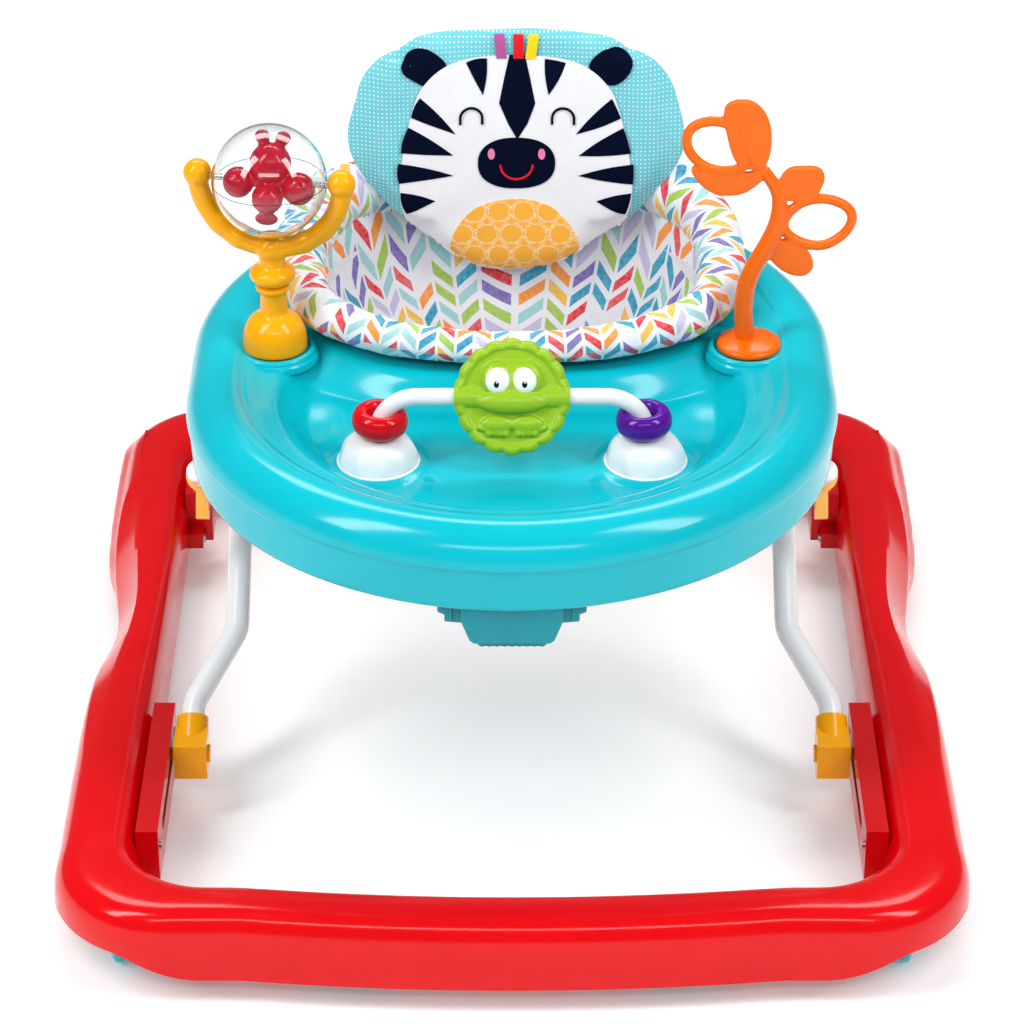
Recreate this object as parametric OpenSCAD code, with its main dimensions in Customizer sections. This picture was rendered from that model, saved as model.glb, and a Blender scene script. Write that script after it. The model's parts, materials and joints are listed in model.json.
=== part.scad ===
// Baby walker: wheeled base ring, folding scissor frame, toy tray and hanging fabric seat.
// Millimetres. Front is -Y, +Z is up, the origin is on the floor below the middle of the base.

/* [Base ring] */
// Width of the base ring
base_w = 690; // [680:1:700]
// Length of the base ring, front to back
base_l = 790; // [780:1:800]
// Height of the rail's crown above the floor
base_top = 78; // [76:1:82]
// Height of the rail's lower edge above the floor
base_low = 22; // [20:1:24]
// Half width of the opening inside the ring
inner_x = 283; // [281:1:285]
// Wall of the moulded parts
wall = 3; // [2.5:0.5:3.5]

/* [Wheels] */
// Radius of every wheel
wheel_r = 21; // [19:0.5:22]
// Width of every wheel
wheel_w = 15; // [12:1:16]
// Radius of the wheel axles
axle_r = 3; // [2.5:0.5:3.5]
// Distance from a caster's swivel axis back to its axle
trail = 8; // [6:1:9]

/* [Folding frame] */
// Radius of the frame tubes
tube_r = 9.5; // [9:0.5:10]
// Wall of the frame tubes
tube_wall = 1.4; // [1:0.1:2]
// Height of the frame's feet above the floor
foot_z = 55; // [54:1:56]
// Distance from the rear pivots forward of the origin (negative is forward)
rear_y = 250; // [249:1:251]
// Angle of the tubes above the floor when the walker is at its full height
frame_angle = 34.7; // [34:0.1:35]
// Length of a tube from its foot to the crossing pin
leg_low = 235.4; // [234:0.2:236]
// Length of a tube from the crossing pin to its top pivot
leg_high = 145.5; // [145:0.5:146]
// Radius of the frame's pivot pins
pin_r = 4; // [3.5:0.5:4.5]

/* [Tray] */
// Radius of the tray's front and rear arcs
tray_r = 250; // [248:1:252]
// Centre of the tray's front arc
tray_front_y = -59; // [-62:1:-56]
// Centre of the tray's rear arc
tray_rear_y = 11; // [8:1:14]
// Height of the tray's lower edge
skirt_z = 295; // [293:1:297]
// Height of the tray's deck
deck_z = 350; // [349:1:351]
// Height of the floor of the toy recess
floor_z = 328; // [326:1:330]

/* [Seat] */
// Half width of the padded ring along its middle line
ring_x = 167; // [165:1:168]
// Half length of the padded ring along its middle line
ring_y = 118; // [116:1:119]
// Middle of the seat
seat_y = 88; // [87:1:89]
// Height of the top of the seat back
back_top = 532; // [526:1:536]

/* [Toys] */
// Radius of the clear spinner ball
ball_r = 44; // [42:0.5:45]
// Height of the spinner ball's middle
ball_z = 494; // [490:1:498]
// Half distance between the domes that carry the play bar
dome_x = 100; // [96:1:104]
// Radius of the play bar
bar_r = 6.5; // [6:0.5:7]
// Height of the play bar
bar_z = 383; // [380:1:386]
// Radius of the turning disc on the play bar
disc_r = 43; // [40:1:45]

/* [Hidden] */
$fn = 48;

half_l = base_l / 2;
half_w = base_w / 2;
// Feet, crossing and top of the scissor, in the side view
leg = leg_low + leg_high;
front_y = rear_y - 2 * leg_low * cos(frame_angle);
cross_y = rear_y - leg_low * cos(frame_angle);
cross_z = foot_z + leg_low * sin(frame_angle);
top_z = foot_z + leg * sin(frame_angle);
hinge_y = cross_y + leg_high * cos(frame_angle);
bar_y = cross_y - leg_high * cos(frame_angle);
// Side positions of the frame's tubes
rear_tube_x = 246;
front_foot_x = 253;
front_tube_x = 220;
top_tube_x = 150;
run = 0.05;
caster_x = 291;
caster_y = -334;
rear_wheel_x = 315;
rear_wheel_y = 316;
toy_x = 184;
toy_y = -10;
dome_y = -147;
bend_r = 30;
bend_z = bar_z - bend_r;
bead_z = 362;
spin_yaw = -10.4;
disc_tilt = 25;

// Signed power, for rounded outlines
function spow(v, e) = sign(v) * pow(abs(v), e);

// Closed or capped skin over a list of rings that all have the same number of points. The rings
// run clockwise as seen from the last ring. A capped skin gets a fan of triangles at each end.
function middle(ring) = [for (c = [0:2]) let (v = [for (p = ring) p[c]]) v * [for (p = ring) 1] / len(ring)];
module skin(rings, closed = false) {
    n = len(rings[0]);
    m = len(rings);
    points = concat([for (r = rings) each r], [middle(rings[0]), middle(rings[m - 1])]);
    sides = [for (i = [0:closed ? m - 1 : m - 2]) for (j = [0:n - 1])
        let (a = i * n, b = ((i + 1) % m) * n, k = (j + 1) % n)
        each [[a + j, a + k, b + k], [a + j, b + k, b + j]]];
    caps = [for (j = [0:n - 1]) let (k = (j + 1) % n, b = (m - 1) * n)
        each [[k, j, m * n], [b + j, b + k, m * n + 1]]];
    polyhedron(points = points, faces = concat(sides, closed ? [] : caps), convexity = 8);
}

module both_sides() {
    children();
    mirror([1, 0, 0]) children();
}

// A side is +1 for the right-hand part and -1 for the left-hand one
module on_side(side) {
    if (side > 0) children();
    else mirror([1, 0, 0]) children();
}

module cyl_x(r, length) {
    rotate([0, 90, 0]) cylinder(r = r, h = length, center = true);
}

// Slot along Y with round ends, cut through along X
module slot_y(y0, y1, r, length) {
    for (y = [y0, y1]) translate([0, y, 0]) cyl_x(r, length);
    translate([-length / 2, min(y0, y1), -r]) cube([length, abs(y1 - y0), 2 * r]);
}

// Stations along points drawn as [across, up], with every corner bent to one radius, each as
// [point, direction]
bend_steps = 5;
function heading(p, i) = atan2(p[i + 1][1] - p[i][1], p[i + 1][0] - p[i][0]);
function left_of(a) = [-sin(a), cos(a)];
function bend_stations(p, i, bend) = let (h = heading(p, i - 1), turn = heading(p, i) - h, s = sign(turn),
    middle = p[i] - bend * tan(abs(turn) / 2) * [cos(h), sin(h)] + s * bend * left_of(h))
    [for (k = [0:bend_steps]) let (a = h + turn * k / bend_steps) [middle - s * bend * left_of(a), a]];
function stations_along(p, bend) = let (n = len(p)) concat([[p[0], heading(p, 0)]],
    [for (i = [1:n - 2]) each bend_stations(p, i, bend)], [[p[n - 1], heading(p, n - 2)]]);
module bent_bar(p, bend, r, sides = 16) {
    skin([for (s = stations_along(p, bend)) [for (j = [0:sides - 1]) let (b = 360 * j / sides,
        q = s[0] + r * cos(b) * left_of(s[1])) [q[0], r * sin(b), q[1]]]]);
}
module bent_tube(p, bend, r, thick) {
    difference() {
        bent_bar(p, bend, r);
        bent_bar(p, bend, r - thick);
    }
}

// ---- Base ring ----
front_corner = 90;
front_hole = 62;
rear_corner = 75;
rear_hole = 50;
rail_front = 55;
front_bow = 12;
corner_steps = 7;
side_steps = 9;

// Outer half width of the ring along Y: a waist in front of the rear fenders
function ring_x_at(y) = half_w - 15 * exp(-pow((y - 55) / 85, 2));
// Bow of the front rail along X
function bow_at(x) = front_bow * (1 - min(1, pow(x / 200, 2)));

// Stations of the right-hand half, from the middle of the front rail to the middle of the rear
// rail, each as [inner x, inner y, outer x, outer y]
front_in_y = -half_l + front_bow + rail_front;
rear_in_y = half_l - 60;
function mix(a, b, t) = a + (b - a) * t;
function half_stations() = concat(
    [for (i = [0:3]) let (t = i / 4, xi = (inner_x - front_hole) * t, xo = (half_w - front_corner) * t)
        [xi, front_in_y - bow_at(xi), xo, -half_l + front_bow - bow_at(xo)]],
    [for (i = [0:corner_steps]) let (a = 90 * i / corner_steps)
        [inner_x - front_hole + front_hole * sin(a), front_in_y + front_hole - front_hole * cos(a),
         half_w - front_corner + front_corner * sin(a),
         -half_l + front_bow + front_corner - front_corner * cos(a)]],
    [for (i = [1:side_steps - 1]) let (t = i / side_steps,
        yi = mix(front_in_y + front_hole, rear_in_y - rear_hole, t),
        yo = mix(-half_l + front_bow + front_corner, half_l - rear_corner, t))
        [inner_x, yi, ring_x_at(yo), yo]],
    [for (i = [0:corner_steps]) let (a = 90 * i / corner_steps)
        [inner_x - rear_hole + rear_hole * cos(a), rear_in_y - rear_hole + rear_hole * sin(a),
         half_w - rear_corner + rear_corner * cos(a), half_l - rear_corner + rear_corner * sin(a)]],
    [for (i = [1:3]) let (t = 1 - i / 3) [(inner_x - rear_hole) * t, rear_in_y,
        (half_w - rear_corner) * t, half_l]]);

// Section of the rail: an arch from the inner edge over the crown to the outer edge
arch_steps = 9;
function arch(width, height, inset) = [for (k = [0:arch_steps]) let (a = 180 * k / arch_steps)
    [inset + (width - 2 * inset) * (1 - spow(cos(a), 0.5)) / 2,
     (height - inset) * spow(sin(a), 0.62)]];
function rail_section(s) =
    let (p = [s[0], s[1]], q = [s[2], s[3]], width = norm(q - p), dir = (q - p) / width,
        flat = concat(arch(width, base_top - base_low, wall),
            [for (k = [arch_steps:-1:0]) arch(width, base_top - base_low, 0)[k]]))
    [for (f = flat) [p.x + dir.x * f[0], p.y + dir.y * f[0], base_low + f[1]]];
function flip(ring) = [for (p = ring) [-p.x, p.y, p.z]];

// Places of the grip pads under the ring, each as [x, y, length along X, length along Y]
pads = [[120, -361, 60, 24], [-120, -361, 60, 24], [310, -40, 22, 60], [-310, -40, 22, 60],
    [312, 160, 24, 60], [-312, 160, 24, 60], [120, 364, 60, 24], [-120, 364, 60, 24]];
pad_low = 15;

module base_shell() {
    half = half_stations();
    right = [for (s = half) rail_section(s)];
    left = [for (i = [len(half) - 2:-1:1]) flip(right[i])];
    color("red") {
        skin(concat(right, left), closed = true);
        for (p = pads) translate([p[0], p[1], (base_low + base_top) / 2 - 1])
            cube([p[2], p[3], base_top - base_low - 2], center = true);
    }
}

module grip_pads() {
    color("dimgray") for (p = pads) translate([p[0], p[1], (pad_low + base_low) / 2])
        difference() {
            cube([p[2], p[3], base_low - pad_low], center = true);
            for (i = [-1:1]) translate([p[2] > p[3] ? i * 16 : 0, p[2] > p[3] ? 0 : i * 16, -4])
                cube([p[2] > p[3] ? 3 : 40, p[2] > p[3] ? 40 : 3, 4], center = true);
        }
}

// ---- Guides and pivots on the ring's inner wall ----
guide_x = 268;
slot_play = 0.5;
slot_front = -230;
slot_rear = front_y + 6;

module front_guide(side) {
    color("firebrick") on_side(side) difference() {
        translate([guide_x, -270, 28]) cube([inner_x + 2 - guide_x, 175, 47]);
        translate([guide_x + 4, slot_front - 6, foot_z - 9]) cube([10, slot_rear + 10 - slot_front, 18]);
        translate([guide_x, 0, foot_z]) slot_y(slot_front, front_y, 5 + slot_play, 20);
        for (y = [-258, -106]) translate([guide_x, y, foot_z]) cyl_x(2, 60);
    }
}

module front_guide_left() { front_guide(-1); }
module front_guide_right() { front_guide(1); }

module rear_block(side) {
    color("firebrick") on_side(side) difference() {
        union() {
            translate([262, rear_y - 20, 28]) cube([inner_x + 2 - 262, 40, 47]);
            translate([270, rear_y - 34, 28]) cube([inner_x + 2 - 270, 68, 14]);
        }
        translate([270, rear_y, foot_z]) cyl_x(5 + run, 40);
        for (y = [-28, 28]) translate([270, rear_y + y, 35]) cyl_x(2, 60);
    }
}

module rear_block_left() { rear_block(-1); }
module rear_block_right() { rear_block(1); }

module base_screws() {
    color("gainsboro") both_sides() {
        for (y = [-258, -106]) translate([guide_x - 1, y, foot_z]) {
            cyl_x(3.6, 2);
            translate([5, 0, 0]) cyl_x(1.9, 10);
        }
        for (y = [-28, 28]) translate([269, rear_y + y, 35]) {
            cyl_x(3.6, 2);
            translate([5, 0, 0]) cyl_x(1.9, 10);
        }
    }
}

// ---- Wheels ----
stem_r = 5;
stem_top = 62;

module caster_sockets() {
    color("teal") both_sides() translate([caster_x, caster_y, 48]) difference() {
        cylinder(r = 12, h = base_top - 1.5 - 48);
        translate([0, 0, -1]) cylinder(r = stem_r + run, h = stem_top - 48 + 2);
    }
}

module caster_fork(side) {
    color("darkturquoise") on_side(side) translate([caster_x, caster_y, 0]) {
        difference() {
            union() {
                translate([0, 0, 43.5]) cylinder(r = 17, h = 4);
                for (x = [-1, 1]) translate([x * (wheel_w / 2 + 2.5), 0, 0]) {
                    translate([-1.5, 0, wheel_r]) cube([3, trail + 8, 24]);
                    translate([0, trail, wheel_r]) cyl_x(8, 3);
                    translate([-1.5, -12, 36]) cube([3, 20, 9]);
                }
            }
            translate([0, trail, wheel_r]) cyl_x(axle_r, 60);
        }
        translate([0, 0, 43.5]) cylinder(r = stem_r, h = stem_top - 43.5);
    }
}

module caster_fork_left() { caster_fork(-1); }
module caster_fork_right() { caster_fork(1); }

module front_axle(side) {
    color("silver") on_side(side) translate([caster_x, caster_y + trail, wheel_r])
        cyl_x(axle_r, wheel_w + 8);
}

module front_axle_left() { front_axle(-1); }
module front_axle_right() { front_axle(1); }

// A wheel with a grooved tread, lightened on both faces
module wheel() {
    rotate([0, 90, 0]) rotate_extrude() difference() {
        polygon([[axle_r + run, -wheel_w / 2], [7, -wheel_w / 2], [8, -wheel_w / 2 + 3],
            [15, -wheel_w / 2 + 3], [16, -wheel_w / 2], [wheel_r - 2, -wheel_w / 2],
            [wheel_r, -wheel_w / 2 + 2], [wheel_r, wheel_w / 2 - 2], [wheel_r - 2, wheel_w / 2],
            [16, wheel_w / 2], [15, wheel_w / 2 - 3], [8, wheel_w / 2 - 3], [7, wheel_w / 2],
            [axle_r + run, wheel_w / 2]]);
        translate([wheel_r - 1.5, -1]) square([2, 2]);
    }
}

module front_wheel(side) {
    color("darkturquoise") on_side(side) translate([caster_x, caster_y + trail, wheel_r]) wheel();
}

module front_wheel_left() { front_wheel(-1); }
module front_wheel_right() { front_wheel(1); }

module rear_wheel_mounts() {
    color("firebrick") both_sides() translate([rear_wheel_x, rear_wheel_y, 0]) difference() {
        union() {
            translate([-14, -24, 46]) cube([28, 48, base_top - 1.5 - 46]);
            for (x = [-14, 10]) translate([x, -12, wheel_r]) cube([4, 24, 26]);
            for (x = [-12, 12]) translate([x, 0, wheel_r]) cyl_x(9, 4);
        }
        translate([0, 0, wheel_r]) cyl_x(axle_r, 60);
        for (y = [-18, 18]) translate([0, y, 40]) cylinder(r = 2, h = 40);
    }
}

module rear_axles() {
    color("silver") both_sides() translate([rear_wheel_x, rear_wheel_y, wheel_r])
        cyl_x(axle_r, 29);
}

module rear_wheel(side) {
    color("darkturquoise") on_side(side) translate([rear_wheel_x, rear_wheel_y, wheel_r]) wheel();
}

module rear_wheel_left() { rear_wheel(-1); }
module rear_wheel_right() { rear_wheel(1); }

// ---- Folding frame ----
// Places children in a tube's own plane: X across, Z along the tube from its foot
module rear_frame_plane() {
    translate([0, rear_y, foot_z]) rotate([90 - frame_angle, 0, 0]) children();
}
module front_frame_plane() {
    translate([0, front_y, foot_z]) rotate([frame_angle - 90, 0, 0]) children();
}

elbow_r = 30;
tube_start = 12;

module rear_tube() {
    route = [[-rear_tube_x, tube_start], [-rear_tube_x, leg], [rear_tube_x, leg], [rear_tube_x, tube_start]];
    color("white") rear_frame_plane() difference() {
        bent_tube(route, elbow_r, tube_r, tube_wall);
        both_sides() translate([rear_tube_x, 0, leg_low]) cyl_x(pin_r + run, 40);
    }
}

module rear_feet() {
    color("orange") both_sides() {
        rear_frame_plane() difference() {
            union() {
                translate([rear_tube_x, 0, 0]) cyl_x(14, 25);
                translate([rear_tube_x, 0, 4]) cylinder(r = 11.5, h = 34);
            }
            translate([rear_tube_x, 0, tube_start]) cylinder(r = tube_r, h = 40);
        }
        translate([268.5, rear_y, foot_z]) cyl_x(5, 23);
    }
}

// Hooks that hold the folded frame, clipped on the rear tube below its elbows
clip_at = 300;
module tube_clips() {
    color("orange") rear_frame_plane() both_sides() translate([rear_tube_x, 0, clip_at]) {
        difference() {
            union() {
                cylinder(r = 13, h = 14);
                translate([-5, -34, 0]) cube([10, 26, 14]);
            }
            translate([0, 0, -1]) cylinder(r = tube_r, h = 16);
            translate([0, -24, 7]) cyl_x(4.5, 30);
        }
    }
}

module cross_washers() {
    color("dimgray") both_sides() translate([(front_tube_x + rear_tube_x) / 2 + 0.4, cross_y, cross_z])
        difference() {
            cyl_x(9, 4.6);
            cyl_x(pin_r + run, 10);
        }
}

// Side route of a front tube, as [x, distance from the foot]
front_route = [[front_foot_x, 8], [front_foot_x, 42], [front_tube_x, 106], [front_tube_x, 262],
    [top_tube_x, 340], [top_tube_x, leg + 9]];

module front_tubes() {
    color("white") front_frame_plane() both_sides() difference() {
        bent_tube(front_route, elbow_r, tube_r, tube_wall);
        translate([front_tube_x, 0, leg_low]) cyl_x(pin_r, 40);
        translate([top_tube_x, 0, leg]) cyl_x(pin_r + run, 40);
    }
}

module front_feet() {
    color("orange") both_sides() difference() {
        union() {
            translate([front_foot_x - 13, front_y - 15, foot_z - 14]) cube([26, 30, 30]);
            front_frame_plane() translate([front_foot_x, 0, 4]) cylinder(r = 12.5, h = 26);
        }
        front_frame_plane() translate([front_foot_x, 0, 7]) cylinder(r = tube_r, h = 40);
        translate([front_foot_x, front_y, foot_z]) cyl_x(5, 60);
    }
}

module slider_pins() {
    color("orange") both_sides() {
        translate([front_foot_x + 9.7, front_y, foot_z]) cyl_x(5, 35.4);
        translate([guide_x + 7.5, front_y, foot_z]) cyl_x(8, 5);
        translate([front_foot_x - 14, front_y, foot_z]) cyl_x(7, 2);
    }
}

module cross_pins() {
    color("silver") both_sides() translate([(front_tube_x + rear_tube_x) / 2, cross_y, cross_z]) {
        cyl_x(pin_r, 50);
        translate([-24.5, 0, 0]) cyl_x(7, 3);
        translate([25, 0, 0]) cyl_x(7, 3);
    }
}

ear_x = 14;
module top_pins() {
    color("silver") both_sides() translate([top_tube_x, hinge_y, top_z]) {
        cyl_x(pin_r, 2 * ear_x + 10);
        for (x = [-1, 1]) translate([x * (ear_x + 5), 0, 0]) cyl_x(6.5, 2);
    }
}

// ---- Tray ----
module tray_outline(r) {
    translate([0, tray_front_y]) circle(r = r, $fn = 128);
    translate([0, tray_rear_y]) circle(r = r, $fn = 128);
    translate([-r, tray_front_y]) square([2 * r, tray_rear_y - tray_front_y]);
}
module tray_slab(r, z0, z1) {
    translate([0, 0, z0]) linear_extrude(height = z1 - z0) tray_outline(r);
}

// Rounded slot for the seat
slot_x = 48;
module seat_slot(r, z0, z1) {
    translate([0, seat_y, z0]) linear_extrude(height = z1 - z0) {
        both_sides() translate([slot_x, 0]) circle(r = r);
        square([2 * slot_x, 2 * r], center = true);
    }
}

// Sweeps a rim section, drawn as [radius, height], round the tray's outline
module tray_sweep() {
    translate([0, tray_front_y, 0]) rotate([0, 0, 180]) rotate_extrude(angle = 180, $fn = 128) children();
    translate([0, tray_rear_y, 0]) rotate_extrude(angle = 180, $fn = 128) children();
    for (s = [0, 1]) mirror([s, 0, 0]) translate([0, tray_rear_y, 0]) rotate([90, 0, 0])
        linear_extrude(height = tray_rear_y - tray_front_y) children();
}

rim_in = 205;
crease_z = 331;
crown_r = 27;
module rim_section() {
    difference() {
        union() {
            translate([tray_r - crown_r, crease_z]) intersection() {
                circle(r = crown_r);
                translate([-crown_r, 0]) square(2 * crown_r);
            }
            translate([tray_r - 2 * wall, skirt_z]) square([2 * wall, crease_z - skirt_z]);
            translate([rim_in - 10, deck_z - wall]) square([20, wall]);
        }
        translate([tray_r - crown_r, crease_z]) circle(r = crown_r - wall);
        translate([tray_r - crown_r - 30, skirt_z]) square([crown_r + 30 - wall, crease_z - skirt_z]);
    }
}

recess_r = 198;
recess_y = -20;
recess_back = -58;
module recess(grow) {
    intersection() {
        translate([0, recess_y]) circle(r = recess_r + grow, $fn = 96);
        translate([-220, -280]) square([440, 280 + recess_back + grow]);
    }
}

module tray_top() {
    color("deepskyblue") difference() {
        union() {
            tray_sweep() rim_section();
            tray_slab(rim_in, deck_z - wall, deck_z);
            translate([0, 0, floor_z - wall]) linear_extrude(height = deck_z - floor_z + wall)
                recess(wall);
            for (x = [-toy_x, toy_x]) translate([x, toy_y, deck_z - 4]) cylinder(r = 31, h = 5.5);
        }
        translate([0, 0, floor_z]) linear_extrude(height = 60) recess(0);
        seat_slot(104, 200, 500);
        for (x = [-toy_x, toy_x]) translate([x, toy_y, deck_z - 20]) {
            cylinder(r = 8, h = 40);
            translate([0, 0, 21.5]) cylinder(r = 26, h = 20);
        }
        for (x = [-dome_x, dome_x]) translate([x, dome_y, floor_z - 20]) cylinder(r = 8, h = 40);
    }
}

bottom_z = 301;
bottom_r = 246.5;
boss_at = [[-225, -60], [225, -60], [-120, -240], [120, -240], [-200, 110], [200, 110]];
module tray_bottom() {
    color("darkcyan") difference() {
        union() {
            tray_slab(bottom_r, bottom_z, bottom_z + wall);
            for (p = boss_at) translate([p[0], p[1], bottom_z])
                cylinder(r = 7, h = (abs(p[1]) > 200 ? 22 : 42));
            seat_slot(107.5, bottom_z, bottom_z + 12);
        }
        seat_slot(104.5, 200, 500);
        for (p = boss_at) translate([p[0], p[1], bottom_z - 1]) cylinder(r = 2, h = 20);
    }
}

module tray_screws() {
    color("gainsboro") for (p = boss_at) translate([p[0], p[1], bottom_z - 2.5]) {
        cylinder(r = 4, h = 2.5);
        translate([0, 0, 2.5]) cylinder(r = 1.9, h = 12);
    }
}

module tray_hinges() {
    color("darkcyan") both_sides() translate([top_tube_x, hinge_y, top_z]) difference() {
        union() {
            for (x = [-1, 1]) translate([x * (ear_x + 1), 0, 0]) {
                translate([-2.5, -13, 0]) cube([5, 26, bottom_z - top_z - 4]);
                cyl_x(13, 5);
            }
            translate([-ear_x - 5.5, -20, bottom_z - top_z - 5]) cube([2 * ear_x + 11, 30, 5]);
        }
        cyl_x(pin_r, 60);
    }
}

track_x = 31;
track_play = 1.5;
track_front = -132;
module frame_track() {
    color("darkcyan") difference() {
        both_sides() translate([track_x, -225, top_z - 17]) cube([5, 185, bottom_z - top_z + 17]);
        translate([0, 0, top_z]) slot_y(track_front, bar_y, tube_r + track_play, 90);
    }
}

house_front = -300;
house_back = -226;
house_low = 262;
module adjuster_housing() {
    color("teal") difference() {
        union() {
            translate([-54, house_front + 8, 276]) cube([108, house_back - house_front - 8, 25]);
            translate([-34, house_front, house_low]) cube([68, house_back - house_front, 39]);
        }
        translate([-30, house_front + 4, house_low + 2]) cube([60, house_back - house_front - 8, 33]);
        translate([-25, house_front + 11, house_low - 1]) cube([50, 37, 10]);
        translate([-50, house_front + 12, 275]) cube([100, house_back - house_front - 16, 22]);
    }
}

handle_travel = 8;
module adjuster_handle() {
    color("darkturquoise") {
        difference() {
            translate([-26, -284, 252]) cube([52, 34, 9]);
            for (i = [-4:4]) translate([i * 5.6, -284, 250]) cube([2, 6, 12], center = true);
        }
        translate([-24, -280, 260]) cube([48, 26, 5]);
        translate([-27, -282, 264.5]) cube([54, 44, 3]);
        translate([-20, -246, 267]) cube([40, 6, 16]);
    }
}

// Coil spring between the housing's rear wall and the handle's tab, lying along Y
coil_turns = 6;
coil_r = 5;
wire_r = 0.8;
module adjuster_spring() {
    length = 8;
    steps = 12;
    color("silver") translate([0, -231.4 - length, 275]) skin([for (i = [0:coil_turns * steps])
        let (a = 360 * i / steps, y = length * i / (coil_turns * steps))
        [for (j = [0:5]) let (b = -60 * j, r = coil_r + wire_r / 2 * cos(b))
            [r * cos(a), y + wire_r / 2 * sin(b), r * sin(a)]]]);
}

// ---- Seat ----
module seat_ring() {
    color("white") difference() {
        union() {
            seat_slot(112, deck_z + 0.2, deck_z + 2.2);
            seat_slot(103.6, 318, deck_z + 2.2);
        }
        seat_slot(100.6, 200, 500);
    }
}

module seat_clips() {
    color("white") for (x = [-1, 1]) for (y = [-1, 1]) translate([x * 60, seat_y + y * 103.8, 0])
        translate([-9, y > 0 ? -0.2 : -4.8, deck_z - wall - 5]) cube([18, 5, 5]);
}

ring_power = 0.8;
roll_front = 12;
roll_grow = 10;
roll_low = 353;
function roll_f(t) = (1 - cos(t)) / 2;
function roll_r(t) = roll_front + roll_grow * pow(roll_f(t), 0.6);
function roll_c(t) = [ring_x * spow(sin(t), ring_power), seat_y - ring_y * spow(cos(t), ring_power),
    roll_low + roll_r(t) + 6 * roll_f(t)];
module seat_roll() {
    stations = 40;
    sides = 12;
    color("mintcream") skin([for (i = [0:stations - 1])
        let (t = 360 * i / stations, c = roll_c(t), d = roll_c(t + 2) - roll_c(t - 2),
            u = [d.y, -d.x, 0] / norm([d.x, d.y]), r = roll_r(t))
        [for (j = [0:sides - 1]) let (b = 360 * j / sides)
            c + u * r * cos(b) + [0, 0, r * sin(b)]]], closed = true);
}

// Rings of the hanging bucket, each as [half width, half length, height, middle along Y]
bucket = [[145, 95, 361, 88], [140, 90, 325, 88], [124, 80, 278, 90], [100, 66, 235, 94],
    [66, 46, 206, 98]];
cloth = 3;
function oval(a, b, z, y) = [for (j = [0:35]) let (t = -10 * j)
    [a * spow(sin(t), ring_power), y - b * spow(cos(t), ring_power), z]];
module seat_sling() {
    outer = [for (k = bucket) oval(k[0], k[1], k[2], k[3])];
    last = len(bucket) - 1;
    inner = [for (i = [last:-1:0]) let (k = bucket[i])
        oval(k[0] - cloth, k[1] - cloth, k[2] + (i == last ? cloth : 0), k[3])];
    color("ghostwhite") difference() {
        skin([for (i = [last:-1:0]) outer[i]], closed = false);
        skin(concat(inner, [oval(bucket[0][0] - cloth, bucket[0][1] - cloth, 380, bucket[0][3])]));
        for (x = [-52, 52]) translate([x, 78, 262]) rotate([130, 0, 0]) cylinder(r = 37, h = 150);
    }
}

// Seat back: an upright pad that curves round the child, with a stiff board in its pocket
back_tilt = 7;
back_low = 326;
back_front = 156;
back_curve = 400;
back_thick = 14;
back_h = (back_top - back_low) / cos(back_tilt);
back_half = 127;
// Half width of the pad at a height between 0 and 1
function back_width(h) = h < 0.5 ? back_half * pow(sin(180 * min(h, 0.5)), 0.62)
    : back_half * (1 - 0.47 * pow((h - 0.5) / 0.5, 2.4));
module back_outline(grow) {
    hs = [for (i = [0:16]) i / 16];
    offset_pts = [for (h = hs) [max(0.5, back_width(h) + grow), h * back_h + grow * (2 * h - 1)]];
    polygon(concat(offset_pts, [for (i = [16:-1:0]) [-offset_pts[i][0], offset_pts[i][1]]]));
}
// Curved layer between two depths behind the pad's front face
module back_layer(d0, d1, grow) {
    intersection() {
        translate([0, 150, 0]) rotate([90, 0, 0]) linear_extrude(height = 300) back_outline(grow);
        translate([0, -back_curve, -60]) difference() {
            cylinder(r = back_curve + d1, h = 400, $fn = 180);
            translate([0, 0, -1]) cylinder(r = back_curve + d0, h = 402, $fn = 180);
        }
    }
}
module back_place() {
    translate([0, back_front, back_low]) rotate([-back_tilt, 0, 0]) children();
}

module seat_back() {
    color("paleturquoise") back_place() difference() {
        back_layer(0, back_thick, 0);
        back_layer(back_thick / 2 - 1.8, back_thick / 2 + 1.8, -18);
        translate([-40, -2, -20]) cube([80, 12.8, 45]);
    }
}

module back_board() {
    color("gainsboro") back_place() back_layer(back_thick / 2 - 1.5, back_thick / 2 + 1.5, -18.4);
}

// ---- Toys ----
module spinner_base() {
    color("gold") translate([-toy_x, toy_y, deck_z + 1.7]) difference() {
        union() {
            rotate_extrude() polygon([[0, 0], [25, 0], [25, 6], [23, 14], [19, 21], [13, 26], [10, 28],
                [10, 34], [14, 36], [14, 41], [10, 43], [9, 56], [0, 56]]);
            translate([0, 0, -30]) cylinder(r = 7.8, h = 30);
        }
        translate([0, 0, 30]) cylinder(r = 4 + run, h = 30);
    }
}

fork_r = 56;
fork_tube = 8;
fork_low = 408.5;
module spinner_fork() {
    color("gold") translate([-toy_x, toy_y, 0]) {
        translate([0, 0, fork_low - 22]) cylinder(r = 4, h = 30);
        translate([0, 0, fork_low]) rotate_extrude() polygon([[0, 0], [11, 0], [15, 3], [15, 8], [10, 11],
            [9, 26], [0, 26]]);
        translate([0, 0, ball_z]) rotate([0, 0, spin_yaw]) difference() {
            union() {
                rotate([-90, 0, 0]) rotate_extrude(angle = 180) translate([fork_r, 0]) circle(r = fork_tube);
                for (x = [-1, 1]) translate([x * fork_r, 0, 2]) sphere(r = 11);
            }
            cyl_x(2.5, 2 * fork_r);
            sphere(r = ball_r + 1);
        }
    }
}

module at_ball() {
    translate([-toy_x, toy_y, ball_z]) rotate([0, 0, spin_yaw]) children();
}

module ball_axle() {
    color("silver") at_ball() cyl_x(2.5, 2 * fork_r - 4);
}

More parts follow.
